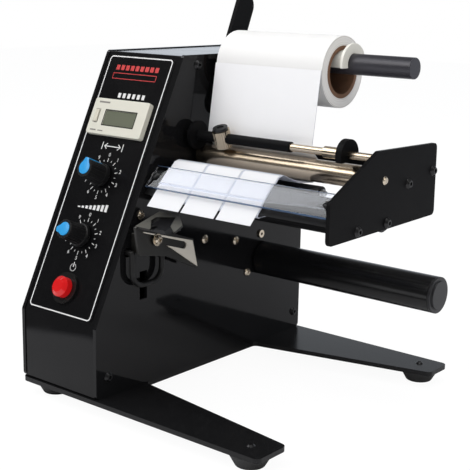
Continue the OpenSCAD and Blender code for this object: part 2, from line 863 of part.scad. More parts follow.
module drive_shaft() place() {
    color("#b9bbbd")
        difference() {
            rod_x(shaft_start, drive_y, drive_z, axle_r, shaft_end - shaft_start);
            rod_x(shaft_end - post_thread, drive_y, drive_z, shank_r - tiny, post_thread + over);
        }
    color("#c4c6c8")
        difference() {
            track(track_in, drive_y, drive_z, drive_pulley_r);
            rod_x(track_in - over, drive_y, drive_z, axle_r - tiny, pulley_w + 2 * over);
        }
    color("#1b1b1d")
        at_x(plate_x + air, drive_y, drive_z)
            button_screw(plate_x + air - shaft_end + post_thread - over);
}

roller_start = housing_w + bush_flange_t + air;
drive_w = web_gap + web_w + 4;

module drive_roller() place() {
    color("#2a2a2c")
        difference() {
            rod_x(roller_start, drive_y, drive_z, drive_r, drive_w);
            rod_x(roller_start - over, drive_y, drive_z, axle_r, drive_w + 2 * over);
        }
}

collar_r = 4;
collar_t = 2;

module pinch_axle() place() {
    color("#b9bbbd") {
        rod_x(housing_w - wall_t - collar_t, pinch_y, pinch_z, pinch_axle_r,
            roller_start + drive_w + collar_t + over - housing_w + wall_t + collar_t);
        rod_x(housing_w - wall_t - collar_t, pinch_y, pinch_z, collar_r, collar_t);
        rod_x(roller_start + drive_w + air, pinch_y, pinch_z, collar_r - over, collar_t - over);
    }
}

module pinch_roller() place() {
    color("#55565a")
        difference() {
            rod_x(roller_start, pinch_y, pinch_z, pinch_r, drive_w);
            rod_x(roller_start - over, pinch_y, pinch_z, pinch_axle_r + run_fit, drive_w + 2 * over);
        }
}

// take-up
tube_wall = 2;
hub_l = 12;
tube_gap = 1.5;
cap_rim = 1.2;
cap_flange = 2;
tube_start = housing_w + tube_gap;
tube_end = plate_x;

module take_up_shaft() place() {
    color("#b9bbbd") {
        rod_x(track_out - over, tube_y, tube_z, shaft_r, tube_start - track_out + 2 * hub_l);
        rod_x(tube_start + run_fit, tube_y, tube_z, tube_r - tube_wall, hub_l);
    }
    color("#c4c6c8")
        difference() {
            track(track_out, tube_y, tube_z, tube_pulley_r);
            rod_x(track_out - over, tube_y, tube_z, shaft_r - tiny, pulley_w + 2 * over);
        }
}

module take_up_tube() place() {
    color("#0e0e10")
        difference() {
            rod_x(tube_start, tube_y, tube_z, tube_r, tube_end - tube_start);
            rod_x(tube_start - over, tube_y, tube_z, tube_r - tube_wall, tube_end - tube_start + 2 * over);
        }
}

module tube_cap() place() {
    color("#161618") {
        rod_x(tube_end, tube_y, tube_z, tube_r, cap_flange);
        rod_x(tube_end - hub_l, tube_y, tube_z, tube_r - tube_wall, hub_l + tiny);
        rod_x(tube_end + cap_flange - tiny, tube_y, tube_z, tube_r - 2 * cap_rim, tail - cap_flange);
    }
}

// right side plate
plate_shares = [[-0.931, -0.509], [1, -0.483], [0.988, 0.276], [-0.138, 0.302], [-0.931, -0.103]];
plate_points = [for (p = plate_shares) roller_at + plate_reach * p];

module right_plate() place() {
    color("#121214")
        difference() {
            yz(plate_in, plate_t) polygon(rounded(plate_points, plate_corner));
            for (p = bars)
                rod_x(plate_in - over, p.x, p.y, shank_r + run_fit, plate_t + 2 * over);
            rod_x(plate_in - over, drive_y, drive_z, plate_bush_r, plate_t / 2 + over);
            rod_x(plate_in - over, drive_y, drive_z, shank_r + air, plate_t + 2 * over);
            rod_x(plate_in - over, roller_y, roller_z, shank_r + run_fit, plate_t + 2 * over);
            rod_x(plate_in - over, rod_y, rod_z, rod_r - rod_neck + run_fit, plate_t / 2 + over);
        }
}

module tie_bar(x, w, p) {
    difference() {
        rod_x(x, p.x, p.y, bar_r, w);
        rod_x(x - over, p.x, p.y, shank_r, post_thread + over);
        rod_x(x + w - post_thread, p.x, p.y, shank_r, post_thread + over);
    }
}

module front_bar() place() {
    color("#1a1a1c") tie_bar(housing_w + ear_t, span - 2 * ear_t, bars[0]);
}

module tie_bars() place() {
    color("#1a1a1c")
        for (p = [bars[1], bars[2]])
            tie_bar(housing_w, span, p);
}

// peel plate and guard
peel_a = 45;
peel_tip = roller_at - plate_reach * [0.887, 0.335];
peel_len = 18.3;
peel_t = 1.6;
ear_t = 1.6;
sheet_t = 0.4;
sheet_up = 0.1;
label_t = 0.25;
guard_t = 2;
guard_up = 1.4;
guard_s = 3.8;
guard_len = 16;
guard_screw_s = 11.8;
guard_head_r = 2.4;
guard_head_h = 1.4;
guard_shank_r = 1.2;
function on_peel(s, n) = peel_tip + s * [cos(peel_a), sin(peel_a)] + n * [-sin(peel_a), cos(peel_a)];

module peel_bar(x, w, s1, s2, n1, n2) {
    yz(x, w) polygon([on_peel(s1, n1), on_peel(s2, n1), on_peel(s2, n2), on_peel(s1, n2)]);
}

module peel_plate() place() {
    color("#1d1d20")
        difference() {
            union() {
                yz(housing_w, span)
                    polygon([on_peel(peel_t, -peel_t), on_peel(peel_len, -peel_t), on_peel(peel_len, 0), on_peel(0, 0)]);
                for (x = [housing_w, plate_in - ear_t])
                    yz(x, ear_t)
                        polygon([on_peel(peel_t, -peel_t), [bars[0].x - bar_r, bars[0].y - bar_r],
                            [bars[0].x + bar_r, bars[0].y - bar_r], [bars[0].x + bar_r, bars[0].y + bar_r],
                            on_peel(peel_len, -peel_t)]);
            }
            for (x = [housing_w, plate_in - ear_t])
                rod_x(x - over, bars[0].x, bars[0].y, shank_r + run_fit, ear_t + 2 * over);
            for (x = guard_x)
                on_plate(x, guard_screw_s)
                    translate([0, 0, -peel_t - over])
                        cylinder(r = guard_shank_r, h = peel_t + 2 * over, $fn = 24);
        }
}
guard_x = [housing_w + ear_t + guard_head_r + air, plate_in - ear_t - guard_head_r - over];

module on_plate(x, s) {
    translate([x, on_peel(s, 0).x, z0 + on_peel(s, 0).y])
        rotate([peel_a, 0, 0]) children();
}

module clear_guard() place() {
    color("#cfd6e4")
        difference() {
            union() {
                peel_bar(housing_w + air, span - 2 * air, guard_s, guard_s + guard_len, guard_up, guard_up + guard_t);
                for (x = guard_x)
                    on_plate(x, guard_screw_s)
                        cylinder(r = guard_head_r, h = guard_up + tiny, $fn = 32);
            }
            for (x = guard_x)
                on_plate(x, guard_screw_s)
                    translate([0, 0, -over])
                        cylinder(r = guard_shank_r + run_fit, h = guard_up + guard_t + 2 * over, $fn = 24);
        }
}

// steel guide roller
roller_wall = 2;
roller_gap = 0.6;
end_r = 2.65;
end_h = 1;
roller_x0 = housing_w + collar_t;
roller_x1 = plate_in - collar_t;

module roller_axle() place() {
    color("#c2bdb2") {
        rod_x(housing_w - wall_t - collar_t, roller_y, roller_z, axle_r, span + wall_t + collar_t);
        rod_x(housing_w - wall_t - collar_t, roller_y, roller_z, shaft_r + over, collar_t);
        rod_x(housing_w, roller_y, roller_z, shaft_r, collar_t - roller_gap);
        rod_x(plate_in - collar_t + roller_gap, roller_y, roller_z, shaft_r, collar_t - roller_gap);
        rod_x(plate_in - over, roller_y, roller_z, shank_r, plate_t + over + tiny);
        at_x(plate_x, roller_y, roller_z)
            cylinder(r1 = end_r, r2 = end_r * dome_share, h = end_h, $fn = 48);
    }
}

module guide_roller() place() {
    color("#c8c2b6")
        difference() {
            rod_x(roller_x0, roller_y, roller_z, roller_r, roller_x1 - roller_x0);
            rod_x(roller_x0 - over, roller_y, roller_z, axle_r + run_fit, roller_x1 - roller_x0 + 2 * over);
        }
}

// guide rod with two edge guides
disc_r = 9;
disc_t = 2;
right_disc_t = 4;
guide_hub_r = 3.4;
guide_hub_step = 0.4;
sleeve_r = 3.2;
disc_flat = 4;
left_hub_l = 72.5;
right_hub_l = 13;
guide_gap = 1.5;
web_x0 = housing_w + web_gap;
web_x1 = web_x0 + web_w;
left_guide_x = web_x0 - guide_gap - disc_t;
collar_in = 19.5;
left_thumb_x = left_guide_x + disc_t + collar_in;
thumb_r = 5.5;
thumb_h = 11;
thumb_top_h = 1.8;
thumb_neck_r = 1.8;
thumb_lean = 20;
thumb_n = 24;
thumb_cut = 0.4;
guide_right = 14.5;
right_guide_x = web_x1 + guide_right;
right_thumb_x = right_guide_x + right_hub_l / 2;
set_r = 1.2;

module guide_rod() place() {
    color("#c6c1b6") {
        rod_x(housing_w, rod_y, rod_z, rod_r, span);
        rod_x(housing_w - wall_t, rod_y, rod_z, rod_r - rod_neck, wall_t + tiny);
        rod_x(plate_in - tiny, rod_y, rod_z, rod_r - rod_neck, plate_t / 2);
        rod_x(housing_w - wall_t - collar_t, rod_y, rod_z, rod_r + over, collar_t);
    }
}

module left_guide() place() {
    difference() {
        union() {
            color("#1a1a1c") {
                rod_x(left_guide_x, rod_y, rod_z, disc_r, disc_t);
                rod_x(left_guide_x + disc_t - tiny, rod_y, rod_z, sleeve_r, left_hub_l);
            }
            color("#c8c2b6")
                thumb_place(left_thumb_x)
                    translate([0, 0, -thumb_h / 2])
                        difference() {
                            cylinder(r = thumb_r, h = thumb_h, $fn = 72);
                            for (i = [0:thumb_n - 1])
                                rotate([0, 0, i * 360 / thumb_n])
                                    translate([thumb_r + thumb_cut / 2, 0, thumb_cut])
                                        cylinder(r = thumb_cut, h = thumb_h - 2 * thumb_cut, $fn = 12);
                        }
        }
        rod_x(left_guide_x - over, rod_y, rod_z, rod_r + run_fit / 2, disc_t + left_hub_l + 2 * over);
        thumb_place(left_thumb_x)
            cylinder(r = thumb_neck_r, h = thumb_h, $fn = 32);
    }
}

module thumb_place(x) {
    translate([x, rod_y, z0 + rod_z])
        rotate([thumb_lean, 0, 0]) children();
}

module left_thumb_screw() place() {
    color("#19191b")
        thumb_place(left_thumb_x) {
            translate([0, 0, rod_r + run_fit])
                cylinder(r = thumb_neck_r - run_fit / 2, h = thumb_h / 2 - rod_r, $fn = 32);
            translate([0, 0, thumb_h / 2 + run_fit / 2])
                difference() {
                    cylinder(r = thumb_r - 2 * thumb_cut, h = thumb_top_h, $fn = 64);
                    translate([0, 0, thumb_top_h / 2])
                        cylinder(r = 2 * hex_r, h = thumb_top_h, $fn = 6);
                }
        }
}

module right_guide() place() {
    color("#1a1a1c")
        difference() {
            rod_x(right_guide_x + right_hub_l, rod_y, rod_z, disc_r, right_disc_t);
            rod_x(right_guide_x, rod_y, rod_z, guide_hub_r - guide_hub_step, right_hub_l + right_disc_t + over);
            translate([right_guide_x + right_hub_l - over, rod_y - disc_r - over, z0 + rod_z - disc_r - over])
                cube([right_disc_t + 2 * over, 2 * (disc_r + over), disc_r + over - disc_flat]);
        }
    color("#c8c2b6")
        difference() {
            union() {
                rod_x(right_guide_x, rod_y, rod_z, guide_hub_r, right_hub_l + tiny);
                rod_x(right_guide_x, rod_y, rod_z, guide_hub_r - guide_hub_step, right_hub_l + right_disc_t);
            }
            rod_x(right_guide_x - over, rod_y, rod_z, rod_r + run_fit / 2, right_hub_l + right_disc_t + 2 * over);
            thumb_place(right_thumb_x)
                rotate([set_turn, 0, 0])
                    translate([0, 0, rod_r])
                        cylinder(r = set_r, h = guide_hub_r, $fn = 24);
        }
}
set_turn = -110;

// label sensor, its points given from the clamping screw
sens_out = 8;
sens_x = housing_w + sens_out;
sens_t = 2;
sens_plate_t = 1.2;
sens_l = 40;
screw_sens = roller_at - sens_l * [1.2975, 1.1575];
slot_end = screw_sens + sens_l * [0.6175, -0.1925];
slot_mouth = screw_sens - sens_l * [0.35, -0.109];
blade_shares = [[-0.2775, 0.165], [0.82, -0.15], [0.9425, -0.595], [0.2275, -0.1275], [-0.2775, 0.0825]];
bracket_shares = [[-0.43, 0.243], [0.115, 0.405], [0.148, 0.108], [0.873, -0.143], [0.975, -0.645],
    [0.26, -0.318], [-0.357, -0.193]];
block_shares = [-0.275, -0.2, 0.4, 0.3];
flange_lean = 16;
flange_t = 1.4;
flange_start = screw_sens + sens_l * [-0.4, 0.26];
flange_shares = [[0, 0], [0, 0.54], [0.38, 0.6], [0.71, 0.29], [0.755, 0.05], [0.55, 0.2], [0.41, 0.475],
    [0.1, 0.375], [0.11, 0.25], [0.33, 0]];
flange_corner = 0.8;
body_in = 6;
body_w = 15;
body_shares = [[-0.3, 0.2], [0.05, 0.2]];
jaw_h = 1.5;
sens_slot_r = 2.3;
sens_head_r = 3;
sens_head_h = 2;
washer_r = 3.8;
washer_t = 0.7;
lead_y = 27;
lead_z = 88;
lead_r = 1.8;
lead_out = 4;
lead_bend = 9;
lead_run = 8;
lead_drop = 12;
eyelet_r = 2.8;
eyelet_h = 1.4;
eyelet_step = 0.7;
wall_screw_r = 2.9;
wall_screw_h = 1.8;

function from_screw(p) = screw_sens + sens_l * p;
function under_flange(y) = flange_start.y + (y - flange_start.x) * tan(flange_lean) - flange_t / cos(flange_lean);

module sensor_bracket() place() {
    color("#303236")
        difference() {
            union() {
                yz(sens_x, sens_t) polygon(rounded([for (p = bracket_shares) from_screw(p)], over / 2));
                translate([housing_w, from_screw(block_shares).x, z0 + from_screw(block_shares).y])
                    cube([sens_out + tiny, sens_l * block_shares[2], sens_l * block_shares[3]]);
                translate([sens_x, flange_start.x, z0 + flange_start.y])
                    rotate([flange_lean, 0, 0])
                        translate([0, 0, -flange_t])
                            linear_extrude(flange_t)
                                polygon(rounded(sens_l * flange_shares, flange_corner));
            }
            rod_x(sens_x - post_thread, screw_sens.x, screw_sens.y, shank_r, post_thread + sens_t + over);
        }
}

module sensor_body() place() {
    front = from_screw(body_shares[0]);
    rear = from_screw(body_shares[1]);
    color("#17181a")
        difference() {
            yz(sens_x + body_in, body_w)
                polygon([front, rear, [rear.x, under_flange(rear.x)], [front.x, under_flange(front.x)]]);
            translate([sens_x + body_in - over, front.x - over, z0 + front.y + jaw_h])
                cube([body_w / 2, rear.x - front.x - body_in + over, jaw_h]);
        }
}

module sensor_plate() place() {
    color("#cfcdc8")
        difference() {
            yz(sens_x + sens_t, sens_plate_t) polygon([for (p = blade_shares) from_screw(p)]);
            rod_x(sens_x + sens_t - over, slot_end.x, slot_end.y, sens_slot_r, sens_plate_t + 2 * over);
            yz(sens_x + sens_t - over, sens_plate_t + 2 * over)
                polygon(band([slot_mouth, slot_end], 2 * sens_slot_r));
        }
}

// a quarter bend of a round lead, in the YZ plane, from angle a
module lead_quarter(y, z, a) {
    translate([sens_lead_x, y, z0 + z])
        rotate([0, 90, 0])
            rotate([0, 0, a])
                rotate_extrude(angle = 90, $fn = 48)
                    translate([lead_bend, 0])
                        circle(r = lead_r, $fn = 24);
}
sens_lead_x = housing_w + lead_out;

module sensor_lead() place() {
    color("#161616") {
        rod_x(housing_w - wall_t - over, lead_y, lead_z, lead_r, wall_t + over + lead_out);
        translate([sens_lead_x, lead_y, z0 + lead_z]) sphere(r = lead_r, $fn = 32);
        translate([sens_lead_x, lead_y, z0 + lead_z - lead_drop]) cylinder(r = lead_r, h = lead_drop, $fn = 32);
        lead_quarter(lead_y + lead_bend, lead_z - lead_drop, -90);
        translate([sens_lead_x, lead_y + lead_bend, z0 + lead_z - lead_drop - lead_bend])
            rotate([-90, 0, 0])
                cylinder(r = lead_r, h = lead_run, $fn = 32);
        lead_quarter(lead_y + lead_bend + lead_run, lead_z - lead_drop, 0);
        translate([sens_lead_x, lead_y + 2 * lead_bend + lead_run, z0 + lead_z - lead_drop])
            cylinder(r = lead_r, h = lead_up, $fn = 32);
        translate([sens_lead_x, lead_y + 2 * lead_bend + lead_run, z0 + lead_z - lead_drop + lead_up])
            sphere(r = lead_r, $fn = 32);
        rod_x(sens_lead_x, lead_y + 2 * lead_bend + lead_run, lead_z - lead_drop + lead_up, lead_r, sens_x - sens_lead_x);
    }
}
lead_up = 8.5;

module wall_eyelet() place() {
    color("#c9c4b8")
        difference() {
            union() {
                rod_x(housing_w, eyelet.x, eyelet.y, eyelet_r, eyelet_h);
                rod_x(housing_w - wall_t - over, eyelet.x, eyelet.y, eyelet_r - eyelet_step, wall_t + over + tiny);
            }
            rod_x(housing_w - wall_t - 2 * over, eyelet.x, eyelet.y, eyelet_r / 3, wall_t + 3 * over + eyelet_h);
        }
}

// supply side
arm_w = 15.6;
arm_t = 3;
arm_lean = 23;
arm_up = 34;
arm_down = 32;
arm_bolts = [-14, -26];
clip_t = 1.6;
clip_w = 16;
clip_lip = 4.5;
clip_lip_t = 2;
clip_over = 6;
stud_r = 4;
tube_in = 2;
supply_len = plate_x - housing_w - arm_t - air;
supply_x = housing_w + arm_t;
roll_z = supply_z + supply_r + clip_t - core_bore_r + air / 2;
sup_end = 1.5;
function arm_at(d) = [supply_y + d * sin(arm_lean), supply_z + d * cos(arm_lean)];

module supply_arm() place() {
    color("#141416")
        difference() {
            union() {
                yz(housing_w, arm_t)
                    polygon(band([arm_at(-arm_down), arm_at(arm_up)], arm_w));
                for (d = [-arm_down, arm_up])
                    rod_x(housing_w, arm_at(d).x, arm_at(d).y, arm_w / 2, arm_t);
            }
            for (d = arm_bolts)
                rod_x(housing_w - over, arm_at(d).x, arm_at(d).y, shank_r + run_fit, arm_t + 2 * over);
            rod_x(housing_w - over, supply_y, supply_z, stud_r - over, arm_t + 2 * over);
        }
}

module supply_stud() place() {
    color("#b9bbbd") {
        rod_x(housing_w + stud_in, supply_y, supply_z, stud_r - over - tiny, arm_t - stud_in + tiny);
        rod_x(housing_w + arm_t, supply_y, supply_z, supply_r - tube_in - tiny, 2 * hub_l);
    }
}
stud_in = 0.5;

module supply_tube() place() {
    color("#3c3f42")
        difference() {
            rod_x(supply_x, supply_y, supply_z, supply_r, supply_len);
            rod_x(supply_x - over, supply_y, supply_z, supply_r - tube_in, supply_len - sup_end + over);
        }
}

// a saddle that snaps over the tube and carries the core
module saddle(x, lip_first) {
    difference() {
        union() {
            rod_x(x, supply_y, supply_z, supply_r + clip_t, clip_w);
            rod_x(lip_first ? x : x + clip_w - clip_lip_t, supply_y, supply_z, supply_r + clip_t + clip_lip, clip_lip_t);
        }
        rod_x(x - over, supply_y, supply_z, supply_r, clip_w + 2 * over);
        // open underside
        translate([x - over, supply_y - supply_r * 2 - clip_lip, z0 + supply_z - supply_r * 3 - supply_r * saddle_share])
            cube([clip_w + 2 * over, supply_r * 4 + 2 * clip_lip, supply_r * 3]);
    }
}
saddle_share = 0.35;

module core_clips() place() {
    color("#eceae4") {
        saddle(web_x0 - clip_lip_t - over, true);
        saddle(web_x1 - clip_w + clip_over + clip_lip_t, false);
    }
}

module roll_core() place() {
    color("#8a6a4a")
        difference() {
            rod_x(web_x0, supply_y, roll_z, core_bore_r + core_t, web_w);
            rod_x(web_x0 - over, supply_y, roll_z, core_bore_r, web_w + 2 * over);
        }
}

module label_roll() place() {
    color("#f2f1ee")
        difference() {
            rod_x(web_x0, supply_y, roll_z, roll_r, web_w);
            rod_x(web_x0 - over, supply_y, roll_z, core_bore_r + core_t, web_w + 2 * over);
        }
}

// label web: off the roll, behind the rod, under the steel roller, over the peel plate and back through the nip
paper_gap = 0.35;
rod_side = thumb_r / cos(thumb_lean) + paper_gap + sheet_t / 2;
roller_side = roller_r + paper_gap + sheet_t / 2;
crest = roller_at + plate_reach * [-0.534, 0.005];
web_n = sheet_up + sheet_t / 2;
tip_in = 1.2;
tip_r = 1.3;
liner_r = drive_r + nip / 2;
bar_top = bar_r + paper_gap;
tail_drop = 7;
crest_lift = 1.5;
crest_half = 2;
off_roll = 2;
tip_wrap = 170;
drive_wrap = 95;
drive_leave = -10;
rod_point = [rod_y + rod_side, rod_z];
to_rod = rod_point - [roller_y, roller_z];
wrap_a = atan2(to_rod.y, to_rod.x) - acos(roller_side / norm(to_rod));
crest_low = crest - [crest_half, crest_half / 2];
crest_high = crest + [crest_half, 0];
web_points = concat(
    [[supply_y - roll_r - sheet_t / 2 - air, roll_z + off_roll]],
    [rod_point + [over, 2 * over], rod_point],
    arc(roller_at, roller_side, wrap_a, -quarter, 2 * steps),
    [[roller_y - 2 * roller_r, roller_z - roller_side + crest_lift], crest_high, crest_low],
    [on_peel(peel_len, web_n), on_peel(tip_in, web_n)],
    arc(on_peel(0, web_n - tip_r), tip_r, peel_a + quarter, peel_a + quarter + tip_wrap, steps),
    [[bars[0].x - bar_r, bars[0].y + bar_top], [bars[0].x, bars[0].y + bar_top]],
    arc([drive_y, drive_z], liner_r, drive_wrap, drive_leave, 2 * steps),
    [[drive_y + liner_r, drive_z - tail_drop]]);

module label_web() place() {
    color("#e9e6d8")
        yz(web_x0, web_w) polygon(band(web_points, sheet_t));
}

label_cols = 3;
col_gap = 1.8;
row_gap = 1.5;
label_l = 16.3;
label_out = 8.5;
label_lift = 0.08;
label_edge = 0.6;
label_w = (web_w - 2 * label_edge - (label_cols - 1) * col_gap) / label_cols;
label_n = web_n + sheet_t / 2 + label_lift + label_t / 2;
second_s = label_l - label_out + row_gap;
row_paths = [[on_peel(-label_out, label_n), on_peel(label_l - label_out, label_n)],
    lifted([on_peel(second_s, web_n), on_peel(peel_len, web_n), crest_low, (crest_low + crest_high) / 2],
        label_n - web_n)];
function lifted(p, d) = [for (i = [0:len(p) - 1]) p[i] + side_of(p, i) * d];

module front_labels() place() {
    color("#fbfbfb")
        for (i = [0:label_cols - 1], path = row_paths)
            yz(web_x0 + label_edge + i * (label_w + col_gap), label_w) polygon(band(path, label_t));
}

// fasteners that repeat
module black_screws() place() {
    color("#1b1b1d") {
        for (p = posts) {
            at_x(housing_w, p.x, p.y) button_screw(wall_t + post_thread - over);
            at_x(0, p.x, p.y)
                rotate([180, 0, 0]) button_screw(wall_t + post_thread - over);
        }
        for (p = bars) {
            at_x(plate_x, p.x, p.y) button_screw(plate_t + post_thread - over);
            at_x(housing_w - wall_t, p.x, p.y)
                rotate([180, 0, 0]) button_screw(wall_t + post_thread - over);
        }
        for (d = arm_bolts) {
            at_x(housing_w + arm_t, arm_at(d).x, arm_at(d).y) button_screw(arm_t + wall_t + collar_t);
            rod_x(housing_w - wall_t - collar_t, arm_at(d).x, arm_at(d).y, foot_nut_r - over / 2, collar_t);
        }
    }
}

module nickel_screws() place() {
    color("#c9c4b8") {
        for (p = motor_holes)
            at_x(housing_w, p.x, p.y)
                rotate([0, 0, screw_turn])
                    pan_screw(wall_t + post_thread - over, motor_head_r, motor_head_h, shank_r - 2 * tiny);
        at_x(housing_w, screw1.x, screw1.y) {
            rotate([0, 0, screw_turn]) pan_screw(wall_t + over, wall_screw_r, wall_screw_h, shank_r);
            translate([0, 0, -wall_t - collar_t])
                cylinder(r = foot_nut_r - over, h = collar_t, $fn = 6);
        }
        for (x = guard_x)
            on_plate(x, guard_screw_s)
                translate([0, 0, guard_up + guard_t])
                    pan_screw(guard_up + guard_t + peel_t, guard_head_r, guard_head_h, guard_shank_r - tiny);
        at_x(sens_x + sens_t + sens_plate_t, screw_sens.x, screw_sens.y) {
            difference() {
                cylinder(r = washer_r, h = washer_t, $fn = 48);
                translate([0, 0, -over])
                    cylinder(r = shank_r - tiny, h = washer_t + 2 * over, $fn = 32);
            }
            translate([0, 0, washer_t])
                rotate([0, 0, screw_turn])
                    pan_screw(washer_t + sens_plate_t + post_thread, sens_head_r, sens_head_h, shank_r - tiny);
        }
    }
}

base_plate();
rubber_feet();
foot_screws();
left_wall();
right_wall();
housing_cover();
spacer_posts();
black_screws();
nickel_screws();
panel_overlay();
counter_case();
counter_window();
counter_reset();
dial_pots();
length_knob();
length_cap();
speed_knob();
speed_cap();
power_switch();
power_button();
control_board();
transformer();
power_inlet();
motor_bracket();
gear_motor();
motor_pulley();
drive_belts();
bushes();
drive_shaft();
drive_roller();
pinch_axle();
pinch_roller();
take_up_shaft();
take_up_tube();
tube_cap();
right_plate();
front_bar();
tie_bars();
peel_plate();
clear_guard();
roller_axle();
guide_roller();
guide_rod();
left_guide();
left_thumb_screw();
right_guide();
sensor_bracket();
sensor_body();
sensor_plate();
sensor_lead();
wall_eyelet();
supply_arm();
supply_stud();
supply_tube();
core_clips();
roll_core();
label_roll();
label_web();
front_labels();
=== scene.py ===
import json
import math

import bpy
from mathutils import Matrix, Vector

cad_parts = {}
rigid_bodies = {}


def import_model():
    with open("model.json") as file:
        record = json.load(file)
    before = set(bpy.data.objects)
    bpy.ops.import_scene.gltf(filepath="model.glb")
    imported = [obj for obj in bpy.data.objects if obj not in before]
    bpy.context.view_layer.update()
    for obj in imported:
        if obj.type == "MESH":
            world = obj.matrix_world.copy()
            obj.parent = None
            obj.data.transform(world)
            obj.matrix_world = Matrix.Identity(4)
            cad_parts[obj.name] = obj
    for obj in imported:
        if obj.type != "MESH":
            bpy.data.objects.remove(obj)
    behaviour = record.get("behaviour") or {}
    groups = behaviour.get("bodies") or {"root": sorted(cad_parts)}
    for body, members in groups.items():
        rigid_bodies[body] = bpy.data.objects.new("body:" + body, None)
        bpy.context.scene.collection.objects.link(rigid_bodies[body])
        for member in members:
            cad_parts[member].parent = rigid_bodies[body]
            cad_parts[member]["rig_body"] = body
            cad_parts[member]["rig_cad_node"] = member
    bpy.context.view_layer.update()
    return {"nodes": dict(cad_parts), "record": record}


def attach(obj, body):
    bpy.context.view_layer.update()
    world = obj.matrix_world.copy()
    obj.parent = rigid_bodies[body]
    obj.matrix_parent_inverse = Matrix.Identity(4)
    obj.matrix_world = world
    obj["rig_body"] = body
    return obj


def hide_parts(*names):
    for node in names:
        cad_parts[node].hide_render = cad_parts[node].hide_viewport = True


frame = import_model()
nodes = frame["nodes"]
bodies = frame["record"]["behaviour"]["bodies"]
bodyOf = {member: body for body, members in bodies.items() for member in members}
bpy.ops.object.select_all(action="DESELECT")
print("frame loaded:", len(nodes), "nodes")

mm = 0.001
machineZero = Vector((-104.2, -103.25, 11)) * mm  # left wall's outer face, housing front, top of the base
slopeFoot = 45  # height above the base at which the sloping front begins
slopeAngle = math.radians(64.3008)


# A place given in mm from machineZero
def place(x, y, z):
    return machineZero + Vector((x, y, z)) * mm


# Matrix of the sloping front at x from the left edge and s up the slope, in mm
def panelFrame(x, s, lift=0.0):
    foot = Matrix.Translation(place(x, 0, slopeFoot))
    return foot @ Matrix.Rotation(slopeAngle, 4, "X") @ Matrix.Translation((0, s * mm, lift * mm))


# camera

camera = {
    "location": (0.4232, -0.5336, 0.2597),
    "yaw": 39.36,
    "pitch": 12.95,
    "roll": 1.09,
    "lens": 83.65,
    "sensor": 36,
    "clip": (0.02, 30),
}


def buildCamera():
    yaw, pitch, roll = (math.radians(camera[k]) for k in ("yaw", "pitch", "roll"))
    ahead = Vector((-math.sin(yaw) * math.cos(pitch), math.cos(yaw) * math.cos(pitch), -math.sin(pitch)))
    level = Vector((math.cos(yaw), math.sin(yaw), 0))
    rise = level.cross(ahead)
    right = math.cos(roll) * level + math.sin(roll) * rise
    up = -math.sin(roll) * level + math.cos(roll) * rise
    data = bpy.data.cameras.new("camera")
    data.lens = camera["lens"]
    data.sensor_width = camera["sensor"]
    data.clip_start, data.clip_end = camera["clip"]
    eye = bpy.data.objects.new("camera", data)
    bpy.context.scene.collection.objects.link(eye)
    facing = Matrix((right, up, -ahead)).transposed().to_4x4()
    eye.matrix_world = Matrix.Translation(camera["location"]) @ facing
    bpy.context.scene.camera = eye


# shader nodes

mixFirst, mixSecond = 6, 7  # sockets of a Mix node's two colours
mixResult = 2  # and of the colour it gives


# A new node, its inputs given by label or number and its properties by name
def addNode(tree, kind, inputs=None, **properties):
    node = tree.nodes.new(kind)
    for name, value in properties.items():
        setattr(node, name, value)
    for label, value in (inputs or {}).items():
        node.inputs[label].default_value = value
    return node


def addRange(tree, source, target=(0.0, 1.0)):
    labels = ("From Min", "From Max", "To Min", "To Max")
    return addNode(tree, "ShaderNodeMapRange", dict(zip(labels, (*source, *target))))


def addMath(tree, operation, inputs=None):
    return addNode(tree, "ShaderNodeMath", inputs, operation=operation)


# A colour mix, with the colours that no link will give
def addMix(tree, colors):
    values = {socket: (*color, 1) for socket, color in colors.items()}
    return addNode(tree, "ShaderNodeMix", values, data_type="RGBA")


def connect(tree, *pairs):
    for output, target in pairs:
        tree.links.new(output, target)


def newMaterial(name):
    material = bpy.data.materials.new(name)
    material.use_nodes = True
    tree = material.node_tree
    return material, tree, tree.nodes["Principled BSDF"]


# studio

studio = {
    "floorSize": 6,
    "floorColor": (0.86, 0.86, 0.87),
    "floorWhite": (0.9, 1.05),  # share and strength of the white that the camera sees
    "worldColor": (0.93, 0.95, 1.0),
    "worldStrength": 0.5,
    "glossDark": (0.12, 0.12, 0.12),
    "glossBright": (0.86, 0.92, 1.0),
    "glossBand": (0.0, 0.62),  # the reflected sky fades from the horizon up to here
    "glossBehind": (-0.1, 0.5),  # and brightens from the front to behind the machine
    "lampAim": (0, 0, 0.1),
    "lamps": [  # name, location, size, power, colour
        ("keyLamp", (-0.5, -1.1, 1.2), (0.9, 0.9), 11, (1.0, 0.98, 0.96)),
        ("leftLamp", (-0.95, -0.36, 1.3), (0.8, 0.5), 4.5, (0.95, 0.97, 1.0)),
        ("topLamp", (0.15, 0.15, 1.5), (1.1, 0.7), 5.5, (1.0, 1.0, 1.0)),
        ("rightLamp", (1.3, -0.2, 0.8), (0.5, 0.9), 4, (1.0, 0.94, 0.86)),
    ],
}


def lampAt(name, location, size, power, color):
    data = bpy.data.lights.new(name, "AREA")
    data.shape = "RECTANGLE"
    data.size, data.size_y = size
    data.energy = power
    data.color = color
    lamp = bpy.data.objects.new(name, data)
    bpy.context.scene.collection.objects.link(lamp)
    lamp.location = location
    toAim = Vector(studio["lampAim"]) - Vector(location)
    lamp.rotation_euler = toAim.to_track_quat("-Z", "Y").to_euler()


